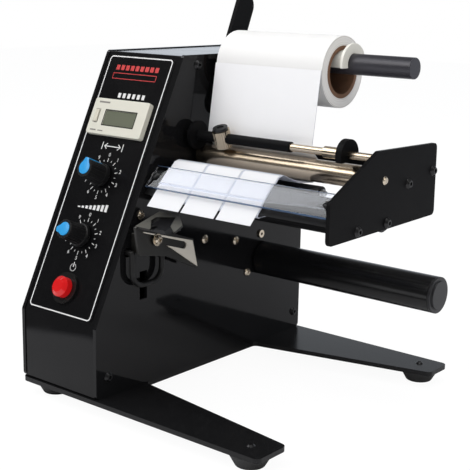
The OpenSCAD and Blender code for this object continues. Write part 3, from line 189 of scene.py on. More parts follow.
# Soft light from all round, a pale sky behind the machine for reflections, white for the camera
def buildWorld():
    world = bpy.data.worlds.new("studio")
    bpy.context.scene.world = world
    world.use_nodes = True
    tree = world.node_tree
    tree.nodes.clear()
    soft = addNode(tree, "ShaderNodeBackground",
                   {"Color": (*studio["worldColor"], 1), "Strength": studio["worldStrength"]})
    where = addNode(tree, "ShaderNodeTexCoord")
    split = addNode(tree, "ShaderNodeSeparateXYZ")
    height = addRange(tree, studio["glossBand"], (1.0, 0.0))
    behind = addRange(tree, studio["glossBehind"])
    share = addMath(tree, "MULTIPLY")
    sky = addMix(tree, {mixFirst: studio["glossDark"], mixSecond: studio["glossBright"]})
    gloss = addNode(tree, "ShaderNodeBackground", {"Strength": 1.0})
    white = addNode(tree, "ShaderNodeBackground", {"Color": (1, 1, 1, 1), "Strength": 1.0})
    path = addNode(tree, "ShaderNodeLightPath")
    seen = addMath(tree, "MAXIMUM")
    light = addNode(tree, "ShaderNodeMixShader")
    view = addNode(tree, "ShaderNodeMixShader")
    out = addNode(tree, "ShaderNodeOutputWorld")
    connect(tree,
            (where.outputs["Generated"], split.inputs[0]),
            (split.outputs["Z"], height.inputs["Value"]),
            (split.outputs["Y"], behind.inputs["Value"]),
            (height.outputs[0], share.inputs[0]),
            (behind.outputs[0], share.inputs[1]),
            (share.outputs[0], sky.inputs[0]),
            (sky.outputs[mixResult], gloss.inputs["Color"]),
            (path.outputs["Is Glossy Ray"], light.inputs[0]),
            (soft.outputs[0], light.inputs[1]),
            (gloss.outputs[0], light.inputs[2]),
            (path.outputs["Is Camera Ray"], seen.inputs[0]),
            (path.outputs["Is Transmission Ray"], seen.inputs[1]),
            (seen.outputs[0], view.inputs[0]),
            (light.outputs[0], view.inputs[1]),
            (white.outputs[0], view.inputs[2]),
            (view.outputs[0], out.inputs["Surface"]))


# Pale floor that the camera sees nearly white and that keeps the object's shadow
def buildFloor():
    bpy.ops.mesh.primitive_plane_add(size=studio["floorSize"], location=(0, 0, 0))
    floor = bpy.context.object
    floor.name = "floor"
    whiteShare, whiteStrength = studio["floorWhite"]
    paint, tree, shader = newMaterial("floorPaint")
    tree.nodes.clear()
    matt = addNode(tree, "ShaderNodeBsdfDiffuse", {"Color": (*studio["floorColor"], 1)})
    white = addNode(tree, "ShaderNodeEmission", {"Color": (1, 1, 1, 1), "Strength": whiteStrength})
    path = addNode(tree, "ShaderNodeLightPath")
    share = addMath(tree, "MULTIPLY", {1: whiteShare})
    shade = addNode(tree, "ShaderNodeMixShader")
    out = addNode(tree, "ShaderNodeOutputMaterial")
    connect(tree,
            (path.outputs["Is Camera Ray"], share.inputs[0]),
            (share.outputs[0], shade.inputs[0]),
            (matt.outputs[0], shade.inputs[1]),
            (white.outputs[0], shade.inputs[2]),
            (shade.outputs[0], out.inputs["Surface"]))
    floor.data.materials.append(paint)


buildCamera()
bpy.context.scene.view_settings.view_transform = "Standard"
buildWorld()
for lamp in studio["lamps"]:
    lampAt(*lamp)
buildFloor()
print("camera and studio ready")

# effects shared by the finishes


# A node group that reads Vector and its named inputs, and gives the named values
def newGroup(name, inputs, outputs):
    group = bpy.data.node_groups.new(name, "ShaderNodeTree")
    group.interface.new_socket("Vector", in_out="INPUT", socket_type="NodeSocketVector")
    for label, value in inputs.items():
        kind = "NodeSocketFloat" if isinstance(value, float) else "NodeSocketVector"
        socket = group.interface.new_socket(label, in_out="INPUT", socket_type=kind)
        socket.default_value = value
    for label in outputs:
        group.interface.new_socket(label, in_out="OUTPUT", socket_type="NodeSocketFloat")
    return group, addNode(group, "NodeGroupInput"), addNode(group, "NodeGroupOutput")


grainEffect = {
    "inputs": {"Scale": 900.0},
    "noise": {"Detail": 4.0, "Roughness": 0.55},
    "speckSize": (0.0, 0.16),  # distances from a cell's middle over which a speck fades
}


# Fine surface relief: soft noise with a few specks
def buildGrain():
    group, given, made = newGroup("fineGrain", grainEffect["inputs"], ("Height", "Specks"))
    noise = addNode(group, "ShaderNodeTexNoise", grainEffect["noise"])
    cells = addNode(group, "ShaderNodeTexVoronoi")
    specks = addRange(group, grainEffect["speckSize"], (1.0, 0.0))
    for texture in (noise, cells):
        connect(group,
                (given.outputs["Vector"], texture.inputs["Vector"]),
                (given.outputs["Scale"], texture.inputs["Scale"]))
    connect(group,
            (cells.outputs["Distance"], specks.inputs["Value"]),
            (noise.outputs[0], made.inputs["Height"]),
            (specks.outputs[0], made.inputs["Specks"]))
    return group


smudgeEffect = {
    "inputs": {"Scale": 26.0, "Low": 0.1, "High": 0.3},
    "noise": {"Detail": 5.0, "Roughness": 0.62, "Distortion": 0.6},
    "contrast": (0.32, 0.7),
}


# Roughness that wanders between two values, as on a handled surface
def buildSmudge():
    group, given, made = newGroup("handSmudge", smudgeEffect["inputs"], ("Roughness", "Mask"))
    noise = addNode(group, "ShaderNodeTexNoise", smudgeEffect["noise"])
    spread = addRange(group, smudgeEffect["contrast"])
    connect(group,
            (given.outputs["Vector"], noise.inputs["Vector"]),
            (given.outputs["Scale"], noise.inputs["Scale"]),
            (noise.outputs[0], spread.inputs["Value"]),
            (given.outputs["Low"], spread.inputs["To Min"]),
            (given.outputs["High"], spread.inputs["To Max"]),
            (spread.outputs[0], made.inputs["Roughness"]),
            (noise.outputs[0], made.inputs["Mask"]))
    return group


dustEffect = {
    "inputs": {"Scale": 240.0, "Amount": 0.05},
    "noise": {"Detail": 6.0, "Roughness": 0.7},
    "facingUp": (0.35, 1.0),  # height of the normal over which dust begins to lie
    "contrast": (0.42, 0.72),
    "color": (0.5, 0.49, 0.47),
}


# Light dust that settles on what faces up
def buildDust():
    group, given, made = newGroup("settledDust", dustEffect["inputs"], ("Mask",))
    geometry = addNode(group, "ShaderNodeNewGeometry")
    split = addNode(group, "ShaderNodeSeparateXYZ")
    upward = addRange(group, dustEffect["facingUp"])
    noise = addNode(group, "ShaderNodeTexNoise", dustEffect["noise"])
    patchy = addRange(group, dustEffect["contrast"])
    both = addMath(group, "MULTIPLY")
    total = addMath(group, "MULTIPLY")
    connect(group,
            (geometry.outputs["Normal"], split.inputs[0]),
            (split.outputs["Z"], upward.inputs["Value"]),
            (given.outputs["Vector"], noise.inputs["Vector"]),
            (given.outputs["Scale"], noise.inputs["Scale"]),
            (noise.outputs[0], patchy.inputs["Value"]),
            (upward.outputs[0], both.inputs[0]),
            (patchy.outputs[0], both.inputs[1]),
            (both.outputs[0], total.inputs[0]),
            (given.outputs["Amount"], total.inputs[1]),
            (total.outputs[0], made.inputs["Mask"]))
    return group


strokeEffect = {
    "inputs": {"Stretch": (20.0, 1500.0, 1500.0)},
    "noise": {"Scale": 1.0, "Detail": 3.0, "Roughness": 0.6},
}


# Fine strokes of a grinding wheel or brush: noise drawn out along one way
def buildStrokes():
    group, given, made = newGroup("brushStrokes", strokeEffect["inputs"], ("Strokes",))
    stretched = addNode(group, "ShaderNodeVectorMath", operation="MULTIPLY")
    noise = addNode(group, "ShaderNodeTexNoise", strokeEffect["noise"])
    connect(group,
            (given.outputs["Vector"], stretched.inputs[0]),
            (given.outputs["Stretch"], stretched.inputs[1]),
            (stretched.outputs[0], noise.inputs["Vector"]),
            (noise.outputs[0], made.inputs["Strokes"]))
    return group


groups = {"grain": buildGrain(), "smudge": buildSmudge(), "dust": buildDust(), "strokes": buildStrokes()}


# A shared effect placed in a material with its own values
def placeEffect(tree, where, effect, inputs):
    node = addNode(tree, "ShaderNodeGroup", inputs, node_tree=groups[effect])
    tree.links.new(where, node.inputs["Vector"])
    return node


# finishes

plainLook = {  # what a look has where it says nothing else
    "metallic": 0.0,
    "specular": 0.5,
    "smudgeScale": 26,
    "grainScale": 900,
    "spread": 0.12,  # share by which the colour varies
    "dust": 0.0,
    "strokeRoughness": 0.12,
    "bump": 0.1,
    "depth": 0.00005,
}
blackSpread = 0.004  # lets the near-black colours vary too
coatRoughness = 0.05
glowDepth = (0.002, 0.002, 0.002)  # how far light runs inside the milky plastics


# Values of the shader that are the same all over the surface
def setShader(shader, look):
    values = {
        "Base Color": (*look["color"], 1),
        "Metallic": look["metallic"],
        "Specular IOR Level": look["specular"],
    }
    if "coat" in look:
        values["Coat Weight"] = look["coat"]
        values["Coat Roughness"] = coatRoughness
    if "glow" in look:
        values["Emission Color"] = (*look["glow"][:3], 1)
        values["Emission Strength"] = look["glow"][3]
    if "subsurface" in look:
        values["Subsurface Weight"] = look["subsurface"]
        values["Subsurface Radius"] = glowDepth
        values["Subsurface Scale"] = 1.0
    for label, value in values.items():
        shader.inputs[label].default_value = value


# Colour that varies with the smudges, by a share of itself
def variedColor(tree, look, mask):
    spread = look["spread"]
    darker = [c * (1 - spread) for c in look["color"]]
    lighter = [min(1, c * (1 + spread) + spread * blackSpread) for c in look["color"]]
    tone = addMix(tree, {mixFirst: darker, mixSecond: lighter})
    tree.links.new(mask, tone.inputs[0])
    return tone.outputs[mixResult]


# Brush strokes as the relief, which roughen the surface too
def addStrokes(tree, where, look, rough):
    strokes = placeEffect(tree, where, "strokes", {"Stretch": look["strokes"]})
    relief = strokes.outputs["Strokes"]
    brushed = addMath(tree, "MULTIPLY_ADD", {1: look["strokeRoughness"]})
    connect(tree, (relief, brushed.inputs[0]), (rough, brushed.inputs[2]))
    return relief, brushed.outputs[0]


# Specks of a second colour over the paint
def addSpecks(tree, look, mask, paint):
    amount = addMath(tree, "MULTIPLY", {1: look["specks"][3]})
    dots = addMix(tree, {mixSecond: look["specks"][:3]})
    connect(tree,
            (mask, amount.inputs[0]),
            (amount.outputs[0], dots.inputs[0]),
            (paint, dots.inputs[mixFirst]))
    return dots.outputs[mixResult]


# Dust over the paint, which dulls it too
def addDust(tree, where, look, paint, rough):
    mask = placeEffect(tree, where, "dust", {"Amount": look["dust"]}).outputs["Mask"]
    powder = addMix(tree, {mixSecond: dustEffect["color"]})
    dulled = addMath(tree, "ADD")
    connect(tree,
            (mask, powder.inputs[0]),
            (paint, powder.inputs[mixFirst]),
            (rough, dulled.inputs[0]),
            (mask, dulled.inputs[1]))
    return powder.outputs[mixResult], dulled.outputs[0]


# One finish from its own settings: colour that varies, wandering roughness, relief and dust
def finish(name, settings):
    look = {**plainLook, **settings}
    material, tree, shader = newMaterial(name)
    setShader(shader, look)
    where = addNode(tree, "ShaderNodeTexCoord").outputs["Object"]
    grain = placeEffect(tree, where, "grain", {"Scale": look["grainScale"]})
    low, high = look["roughness"]
    smudge = placeEffect(tree, where, "smudge", {"Scale": look["smudgeScale"], "Low": low, "High": high})
    paint = variedColor(tree, look, smudge.outputs["Mask"])
    relief = grain.outputs["Height"]
    rough = smudge.outputs["Roughness"]
    if "strokes" in look:
        relief, rough = addStrokes(tree, where, look, rough)
    if "specks" in look:
        paint = addSpecks(tree, look, grain.outputs["Specks"], paint)
    if look["dust"]:
        paint, rough = addDust(tree, where, look, paint, rough)
    bump = addNode(tree, "ShaderNodeBump", {"Strength": look["bump"], "Distance": look["depth"]})
    connect(tree,
            (paint, shader.inputs["Base Color"]),
            (rough, shader.inputs["Roughness"]),
            (relief, bump.inputs["Height"]),
            (bump.outputs[0], shader.inputs["Normal"]))
    return material


looks = {
    "glossBlack": {"color": (0.006, 0.006, 0.0065), "roughness": (0.05, 0.12), "specular": 0.2,
                   "smudgeScale": 18, "grainScale": 260, "bump": 0.05, "depth": 0.0001, "dust": 0.03},
    "baseBlack": {"color": (0.007, 0.007, 0.0075), "roughness": (0.2, 0.25), "specular": 0.25,
                  "smudgeScale": 9, "grainScale": 1300, "bump": 0.06, "depth": 0.00006, "dust": 0.006},
    "satinBlack": {"color": (0.0055, 0.0055, 0.006), "roughness": (0.34, 0.46), "specular": 0.04,
                   "smudgeScale": 30, "grainScale": 1300, "bump": 0.22, "depth": 0.00008, "dust": 0.008},
    "plateBlack": {"color": (0.0055, 0.0055, 0.006), "roughness": (0.4, 0.46), "specular": 0.1,
                   "smudgeScale": 30, "grainScale": 1300, "bump": 0.04, "depth": 0.00004},
    "overlayFilm": {"color": (0.004, 0.004, 0.0045), "roughness": (0.16, 0.24), "specular": 0.14,
                    "smudgeScale": 24, "grainScale": 1700, "bump": 0.06, "depth": 0.00004, "dust": 0.02},
    "whiteInk": {"color": (0.72, 0.72, 0.71), "roughness": (0.42, 0.55), "spread": 0.04, "grainScale": 2200},
    "redInk": {"color": (0.5, 0.016, 0.016), "roughness": (0.4, 0.5), "spread": 0.06, "grainScale": 2200},
    "greyInk": {"color": (0.2, 0.19, 0.17), "roughness": (0.42, 0.55), "spread": 0.06, "grainScale": 2200},
    "creamPlastic": {"color": (0.64, 0.625, 0.54), "roughness": (0.3, 0.42), "spread": 0.03,
                     "grainScale": 1500, "bump": 0.12, "subsurface": 0.05, "dust": 0.02},
    "keyPlastic": {"color": (0.6, 0.57, 0.47), "roughness": (0.32, 0.45), "spread": 0.04,
                   "grainScale": 1500},
    "displayGlass": {"color": (0.13, 0.14, 0.1), "roughness": (0.1, 0.2), "spread": 0.08, "coat": 0.5,
                     "grainScale": 600, "bump": 0.03},
    "displayInk": {"color": (0.03, 0.032, 0.024), "roughness": (0.2, 0.3), "spread": 0.1},
    "knobBlack": {"color": (0.006, 0.006, 0.0065), "roughness": (0.3, 0.42), "specular": 0.25,
                  "grainScale": 1600, "bump": 0.15, "dust": 0.01},
    "capBlue": {"color": (0.018, 0.31, 0.68), "roughness": (0.28, 0.4), "spread": 0.06,
                "grainScale": 1600, "bump": 0.1},
    "bezelBlack": {"color": (0.008, 0.0075, 0.0075), "roughness": (0.22, 0.34), "specular": 0.3,
                   "grainScale": 1500, "dust": 0.01},
    "acrylicEdge": {"color": (0.13, 0.2, 0.33), "roughness": (0.12, 0.2), "spread": 0.1, "bump": 0.03},
    # painted highlight: the bracket's paint made lighter for the upward faces of its flange
    "paintedFlangeHighlight": {"color": (0.1, 0.098, 0.086), "roughness": (0.34, 0.46), "specular": 0.4,
                    "spread": 0.1, "grainScale": 1300, "bump": 0.12},
    "redLens": {"color": (0.56, 0.008, 0.009), "roughness": (0.1, 0.2), "spread": 0.06,
                "subsurface": 0.3, "glow": (1.0, 0.01, 0.012, 0.08), "grainScale": 700, "bump": 0.04},
    "blackOxide": {"color": (0.014, 0.014, 0.015), "roughness": (0.24, 0.4), "metallic": 0.35,
                   "grainScale": 2400, "bump": 0.15},
    "nickelPlate": {"color": (0.62, 0.54, 0.43), "roughness": (0.18, 0.3), "metallic": 1.0,
                    "spread": 0.1, "grainScale": 2600, "bump": 0.08},
    "collarNickel": {"color": (0.58, 0.48, 0.35), "roughness": (0.12, 0.2), "metallic": 1.0,
                     "strokes": (1600.0, 1600.0, 60.0), "strokeRoughness": 0.06, "bump": 0.3,
                     "depth": 0.0001},
    "warmSteel": {"color": (0.55, 0.46, 0.35), "roughness": (0.2, 0.27), "metallic": 1.0, "spread": 0.03,
                  "strokes": (6.0, 1400.0, 1400.0), "strokeRoughness": 0.03, "bump": 0.012,
                  "depth": 0.00003},
    "plainSteel": {"color": (0.55, 0.56, 0.57), "roughness": (0.22, 0.34), "metallic": 1.0,
                   "spread": 0.08, "strokes": (9.0, 1200.0, 1200.0), "bump": 0.06, "depth": 0.00003},
    "stainless": {"color": (0.72, 0.67, 0.58), "roughness": (0.34, 0.44), "metallic": 0.65,
                  "spread": 0.05, "strokes": (30.0, 900.0, 900.0), "bump": 0.08, "depth": 0.00003},
    "bracketPaint": {"color": (0.014, 0.0135, 0.012), "roughness": (0.3, 0.42), "specular": 0.3,
                     "metallic": 0.1, "grainScale": 1300, "bump": 0.12, "dust": 0.01},
    "sensorPlastic": {"color": (0.01, 0.01, 0.011), "roughness": (0.3, 0.44), "specular": 0.3,
                      "grainScale": 1500, "bump": 0.18},
    "cableSheath": {"color": (0.007, 0.007, 0.007), "roughness": (0.32, 0.45), "specular": 0.25},
    "darkAnodised": {"color": (0.035, 0.034, 0.042), "roughness": (0.26, 0.36), "metallic": 0.3,
                     "spread": 0.1, "strokes": (7.0, 700.0, 700.0), "bump": 0.08},
    "tubeGloss": {"color": (0.005, 0.005, 0.0055), "roughness": (0.2, 0.25), "specular": 0.4,
                  "smudgeScale": 12, "grainScale": 1500, "bump": 0.03, "depth": 0.00004, "dust": 0.004},
    "tubeEnd": {"color": (0.018, 0.018, 0.02), "roughness": (0.3, 0.42), "specular": 0.3,
                "grainScale": 1500, "bump": 0.14},
    "clipPlastic": {"color": (0.78, 0.77, 0.7), "roughness": (0.34, 0.48), "spread": 0.03,
                    "grainScale": 1200, "subsurface": 0.08, "bump": 0.12},
    "coreBoard": {"color": (0.17, 0.085, 0.045), "roughness": (0.7, 0.85), "spread": 0.25,
                  "smudgeScale": 240, "grainScale": 1500, "bump": 0.5, "depth": 0.0001},
    "labelPaper": {"color": (0.74, 0.745, 0.76), "roughness": (0.42, 0.52), "spread": 0.015,
                   "smudgeScale": 60, "grainScale": 2600, "bump": 0.06},
    "webPaper": {"color": (0.9, 0.9, 0.905), "roughness": (0.42, 0.52), "spread": 0.012,
                 "smudgeScale": 60, "grainScale": 2600, "bump": 0.06},
    "linerPaper": {"color": (0.52, 0.55, 0.62), "roughness": (0.3, 0.4), "spread": 0.03,
                   "smudgeScale": 60, "grainScale": 1800, "bump": 0.06},
    "footRubber": {"color": (0.016, 0.016, 0.016), "roughness": (0.55, 0.7), "grainScale": 1200,
                   "bump": 0.3, "dust": 0.06},
    "rollerRubber": {"color": (0.02, 0.02, 0.022), "roughness": (0.5, 0.66), "grainScale": 1700,
                     "bump": 0.3},
    "beltRubber": {"color": (0.014, 0.014, 0.014), "roughness": (0.6, 0.75), "grainScale": 1500,
                   "bump": 0.3},
    "boardGreen": {"color": (0.02, 0.13, 0.055), "roughness": (0.3, 0.45),
                   "specks": (0.5, 0.42, 0.2, 0.6)},
    "coilVarnish": {"color": (0.13, 0.1, 0.07), "roughness": (0.4, 0.6), "metallic": 0.3,
                    "strokes": (900.0, 900.0, 40.0)},
    "turnedAluminium": {"color": (0.66, 0.67, 0.69), "roughness": (0.26, 0.4), "metallic": 1.0,
                        "strokes": (1500.0, 60.0, 60.0), "bump": 0.1},
}
finishes = {name: finish(name, look) for name, look in looks.items()}

acrylic = {
    "tint": (0.88, 0.895, 0.94),
    "ior": 1.45,
    "scratches": (40.0, 900.0, 900.0),
    "contrast": (0.45, 0.8),
    "roughness": (0.02, 0.03),
}


# Clear strip: plain transmission with a faint blue tint and hair scratches
def acrylicFinish():
    material, tree, shader = newMaterial("clearAcrylic")
    shader.inputs["Base Color"].default_value = (*acrylic["tint"], 1)
    shader.inputs["Transmission Weight"].default_value = 1.0
    shader.inputs["IOR"].default_value = acrylic["ior"]
    where = addNode(tree, "ShaderNodeTexCoord").outputs["Object"]
    strokes = placeEffect(tree, where, "strokes", {"Stretch": acrylic["scratches"]})
    rough = addRange(tree, acrylic["contrast"], acrylic["roughness"])
    connect(tree,
            (strokes.outputs["Strokes"], rough.inputs["Value"]),
            (rough.outputs[0], shader.inputs["Roughness"]))
    return material


woundPaper = {
    "look": {"color": (0.82, 0.815, 0.8), "roughness": (0.45, 0.6), "spread": 0.03, "smudgeScale": 50,
             "grainScale": 2000},
    "axis": (120, 198.3),  # y and z of the roll's middle line
    "ringPitch": 0.45,
    "ringBump": 0.25,
    "bandColor": (0.62, 0.6, 0.57),
    "bandNoise": {"Scale": 1600, "Detail": 3},
    "bandContrast": (0.25, 0.55),
}


# Wound paper: fine rings round the roll's axis on its end faces
def rollFinish():
    material = finish("woundPaper", woundPaper["look"])
    tree = material.node_tree
    shader = tree.nodes["Principled BSDF"]
    paint = shader.inputs["Base Color"].links[0].from_socket
    bump = shader.inputs["Normal"].links[0].from_node
    bump.inputs["Strength"].default_value = woundPaper["ringBump"]
    axis = place(0, *woundPaper["axis"])
    where = addNode(tree, "ShaderNodeTexCoord")
    fromAxis = addNode(tree, "ShaderNodeMapping", {"Location": (0, -axis.y, -axis.z), "Scale": (0, 1, 1)})
    radius = addNode(tree, "ShaderNodeVectorMath", operation="LENGTH")
    rings = addMath(tree, "MULTIPLY", {1: 2 * math.pi / (woundPaper["ringPitch"] * mm)})
    wave = addMath(tree, "SINE")
    band = addNode(tree, "ShaderNodeTexNoise", woundPaper["bandNoise"], noise_dimensions="1D")
    spread = addRange(tree, woundPaper["bandContrast"])
    mix = addMix(tree, {mixFirst: woundPaper["bandColor"]})
    connect(tree,
            (where.outputs["Object"], fromAxis.inputs["Vector"]),
            (fromAxis.outputs[0], radius.inputs[0]),
            (radius.outputs["Value"], rings.inputs[0]),
            (rings.outputs[0], wave.inputs[0]),
            (wave.outputs[0], bump.inputs["Height"]),
            (radius.outputs["Value"], band.inputs["W"]),
            (band.outputs[0], spread.inputs["Value"]),
            (spread.outputs[0], mix.inputs[0]),
            (paint, mix.inputs[mixSecond]),
            (mix.outputs[mixResult], shader.inputs["Base Color"]))
    return material


finishes["clearAcrylic"] = acrylicFinish()
finishes["woundPaper"] = rollFinish()
print("finishes made:", len(finishes))

# CAD nodes

dressing = {
    "weld": 0.002,  # mm within which a node's corners are one
    "flat": 0.6,  # degrees up to which neighbouring faces are one
    "sharp": 35,  # degrees from which an edge is rounded
    "smooth": 32,  # degrees up to which the shading runs across an edge
    "segments": 2,
}


def selectOnly(piece):
    bpy.ops.object.select_all(action="DESELECT")
    piece.select_set(True)
    bpy.context.view_layer.objects.active = piece


def applyModifiers(piece):
    selectOnly(piece)
    for modifier in list(piece.modifiers):
        bpy.ops.object.modifier_apply(modifier=modifier.name)


# Opens a piece in edit mode with its whole mesh selected
def editAll(piece):
    selectOnly(piece)
    bpy.ops.object.mode_set(mode="EDIT")
    bpy.ops.mesh.select_all(action="SELECT")


def shadeSmooth(piece):
    selectOnly(piece)
    bpy.ops.object.shade_smooth_by_angle(angle=math.radians(dressing["smooth"]))


# A copy of a CAD node with its own mesh, free of the node's parent and marks
def copyOf(node):
    source = nodes[node]
    piece = source.copy()
    piece.data = source.data.copy()
    bpy.context.scene.collection.objects.link(piece)
    piece.parent = None
    piece.matrix_world = Matrix.Identity(4)
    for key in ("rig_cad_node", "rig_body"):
        if key in piece:
            del piece[key]
    piece.name = node + "_dressed"
    return piece


# Welds the loose triangles of a node and, unless it keeps them, merges them into flat faces
def weld(piece, merge):
    editAll(piece)
    bpy.ops.mesh.remove_doubles(threshold=dressing["weld"] * mm)
    if merge:
        bpy.ops.mesh.dissolve_limited(angle_limit=math.radians(dressing["flat"]))
    bpy.ops.object.mode_set(mode="OBJECT")


def roundEdges(piece, width, clamp):
    rounding = piece.modifiers.new("rounding", "BEVEL")
    rounding.width = width * mm
    rounding.segments = dressing["segments"]
    rounding.limit_method = "ANGLE"
    rounding.angle_limit = math.radians(dressing["sharp"])
    rounding.use_clamp_overlap = clamp
    rounding.miter_outer = "MITER_ARC"
    applyModifiers(piece)


# Gives the faces that pass a test on their centre and normal another finish
def coverFaces(piece, material, test):
    piece.data.materials.append(finishes[material])
    index = len(piece.data.materials) - 1
    for face in piece.data.polygons:
        if test(face.center, face.normal):
            face.material_index = index


# A welded copy of a CAD node with its sharp edges rounded, which then stands for the node
def dress(node, material, width, extra=(), merge=True):
    piece = copyOf(node)
    weld(piece, merge)
    if width:
        roundEdges(piece, width, merge)
    piece.data.materials.clear()
    piece.data.materials.append(finishes[material])
    for other, test in extra:
        coverFaces(piece, other, test)
    shadeSmooth(piece)
    even = piece.modifiers.new("even", "WEIGHTED_NORMAL")  # keeps flat faces flat beside their rounded edges
    even.keep_sharp = True
    even.weight = 100
    applyModifiers(piece)
    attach(piece, bodyOf[node])
    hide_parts(node)


plainDress = {  # node: (finish, rounding in mm)
    "left_wall": ("glossBlack", 0.35),
    "right_wall": ("glossBlack", 0.3),
    "right_plate": ("satinBlack", 0.35),
    "front_bar": ("satinBlack", 0.3),
    "tie_bars": ("satinBlack", 0.3),
    "panel_overlay": ("overlayFilm", 0.1),
    "counter_case": ("creamPlastic", 0.45),
    "counter_window": ("displayGlass", 0.1),
    "counter_reset": ("keyPlastic", 0.25),
    "power_switch": ("bezelBlack", 0.3),
    "power_button": ("redLens", 0.3),
    "black_screws": ("blackOxide", 0.15),
    "foot_screws": ("blackOxide", 0.12),
    "wall_eyelet": ("nickelPlate", 0.15),
    "rubber_feet": ("footRubber", 0.5),
    "spacer_posts": ("plainSteel", 0.2),
    "dial_pots": ("plainSteel", 0.15),
    "control_board": ("boardGreen", 0.1),
    "transformer": ("coilVarnish", 0.25),
    "power_inlet": ("bezelBlack", 0.25),
    "gear_motor": ("plainSteel", 0.25),
    "motor_pulley": ("turnedAluminium", 0.1),
    "drive_belts": ("beltRubber", 0.1),
    "bushes": ("blackOxide", 0.12),
    "drive_roller": ("rollerRubber", 0.3),
    "pinch_axle": ("plainSteel", 0.15),
    "pinch_roller": ("rollerRubber", 0.25),
    "take_up_shaft": ("plainSteel", 0.12),
    "take_up_tube": ("tubeGloss", 0.3),
    "tube_cap": ("tubeEnd", 0.3),
    "roller_axle": ("nickelPlate", 0.2),
    "guide_roller": ("warmSteel", 0.25),
    "guide_rod": ("warmSteel", 0.15),
    "sensor_plate": ("stainless", 0.1),
    "sensor_lead": ("cableSheath", 0),
    "supply_arm": ("satinBlack", 0.35),
    "supply_stud": ("plainSteel", 0.2),
    "supply_tube": ("darkAnodised", 0.4),
    "core_clips": ("clipPlastic", 0.35),
    "roll_core": ("coreBoard", 0.15),
    "label_roll": ("woundPaper", 0.12),
    "base_plate": ("baseBlack", 0.4),
}
for node, (material, width) in plainDress.items():
    dress(node, material, width)

# tests for the faces of a node that have a second finish


def xAbove(x):
    limit = place(x, 0, 0).x
    return lambda centre, normal: centre.x > limit


def xBelow(x):
    limit = place(x, 0, 0).x
    return lambda centre, normal: centre.x < limit


def zAbove(z):
    limit = place(0, 0, z).z
    return lambda centre, normal: centre.z > limit


def nearPoints(points, radius):
    return lambda centre, normal: any((centre - place(*point)).length < radius * mm for point in points)


collar = {
    "centre": (94.0, 84.0, 155.5),
    "lean": 20,  # degrees
    "radius": 5.7,
    "half": 5.6,  # half of its height
    "sleeve": 3.3,  # radius of the sleeve that it stands on
    "round": 0.2,  # most of a normal's x on its round faces
}


# Faces of the left guide's collar that stand out of its sleeve
def knurledCollar(centre, normal):
    offset = (centre - place(*collar["centre"])) / mm
    lean = math.radians(collar["lean"])
    axis = Vector((0, -math.sin(lean), math.cos(lean)))
    along = offset.dot(axis)
    across = (offset - along * axis).length
    outOfSleeve = math.hypot(offset.y, offset.z) > collar["sleeve"] or abs(normal.x) < collar["round"]
    return abs(along) < collar["half"] and across < collar["radius"] and outOfSleeve


guard = {
    "screws": [(72.3, 49.9, 130.9), (199.5, 49.9, 130.9)],
    "screwHead": 6,  # radius round a screw that holds all of it
    "boss": 3.4,  # radius round a screw that holds its boss
    "edge": 1.2,  # least sum of a normal's y and z on the strip's edges, as it lies at 45 degrees
    "wall": 0.7,  # most of their difference on the walls of a boss
}
nearBoss = nearPoints(guard["screws"], guard["boss"])


# Front and back edges of the clear strip
def stripEdges(centre, normal):
    return abs(normal.y + normal.z) > guard["edge"] and normal.y * normal.z > 0


# Walls of the bosses under the clear strip, and of its holes
def bossWalls(centre, normal):
    return nearBoss(centre, normal) and abs(normal.z - normal.y) < guard["wall"]


flangeTilt = 0.8  # least height of the normal where the sensor bracket's flange gets its painted highlight


# Upward faces of the sensor bracket's flange, which get the painted highlight
def facesUp(centre, normal):
    return normal.z > flangeTilt


shaftEnd = 207.3  # x past which the drive shaft stands out of the right side plate
rightCollar = 184.4  # x up to which the right guide is its collar
hangingWeb = 150  # z above which the web hangs white from the roll

# merge=False keeps a node's triangles, where merging them spoils its edges or its shading
dress("motor_bracket", "plainSteel", 0.2, merge=False)
dress("sensor_body", "sensorPlastic", 0.2, merge=False)
dress("housing_cover", "glossBlack", 0.35, merge=False)
dress("drive_shaft", "plainSteel", 0.12, extra=[("blackOxide", xAbove(shaftEnd))])
dress("left_guide", "satinBlack", 0.25, extra=[("collarNickel", knurledCollar)])
dress("peel_plate", "plateBlack", 0, merge=False)
dress("clear_guard", "clearAcrylic", 0, merge=False,
      extra=[("acrylicEdge", stripEdges), ("satinBlack", bossWalls)])
dress("nickel_screws", "nickelPlate", 0.1,
      extra=[("blackOxide", nearPoints(guard["screws"], guard["screwHead"]))])
# the flange's upward faces get a painted highlight, a lighter copy of the bracket's paint
dress("sensor_bracket", "bracketPaint", 0.2, merge=False, extra=[("paintedFlangeHighlight", facesUp)])
dress("left_thumb_screw", "blackOxide", 0.1)
dress("right_guide", "satinBlack", 0.25, extra=[("collarNickel", xBelow(rightCollar))])
dress("length_knob", "knobBlack", 0.3)
dress("speed_knob", "knobBlack", 0.3, merge=False)
dress("label_web", "linerPaper", 0, extra=[("webPaper", zAbove(hangingWeb))])
dress("front_labels", "labelPaper", 0.05)
print("CAD nodes dressed")

# knob caps with their tapered pointers

dialColumn = 32.6  # x of both dials
dials = {"length": {"s": 93.5, "turn": 0}, "speed": {"s": 53.5, "turn": 100}}

caps = {
    "finish": "capBlue",
    "sides": 64,
    "radius": 4.3,
    "top": 17.6,  # height of the cap above the panel's slope
    "thick": 1.4,
    "rib": {"width": 2.8, "foot": 0.6, "low": 4.5, "out": 6.95, "in": 3.4, "lean": 0.5},
    "inset": 0.1,  # keeps the tapered bar inside the disc and the rib
    "sunk": 0.02,  # and just under their tops
    "rounding": 0.25,
}


# Puts the piece's place into its mesh and gives it its name, finish and body
def settle(piece, name, body, material):
    selectOnly(piece)
    bpy.ops.object.transform_apply(location=True, rotation=True, scale=True)
    piece.name = name
    piece.data.name = name
    piece.data.materials.append(finishes[material])
    shadeSmooth(piece)
    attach(piece, body)


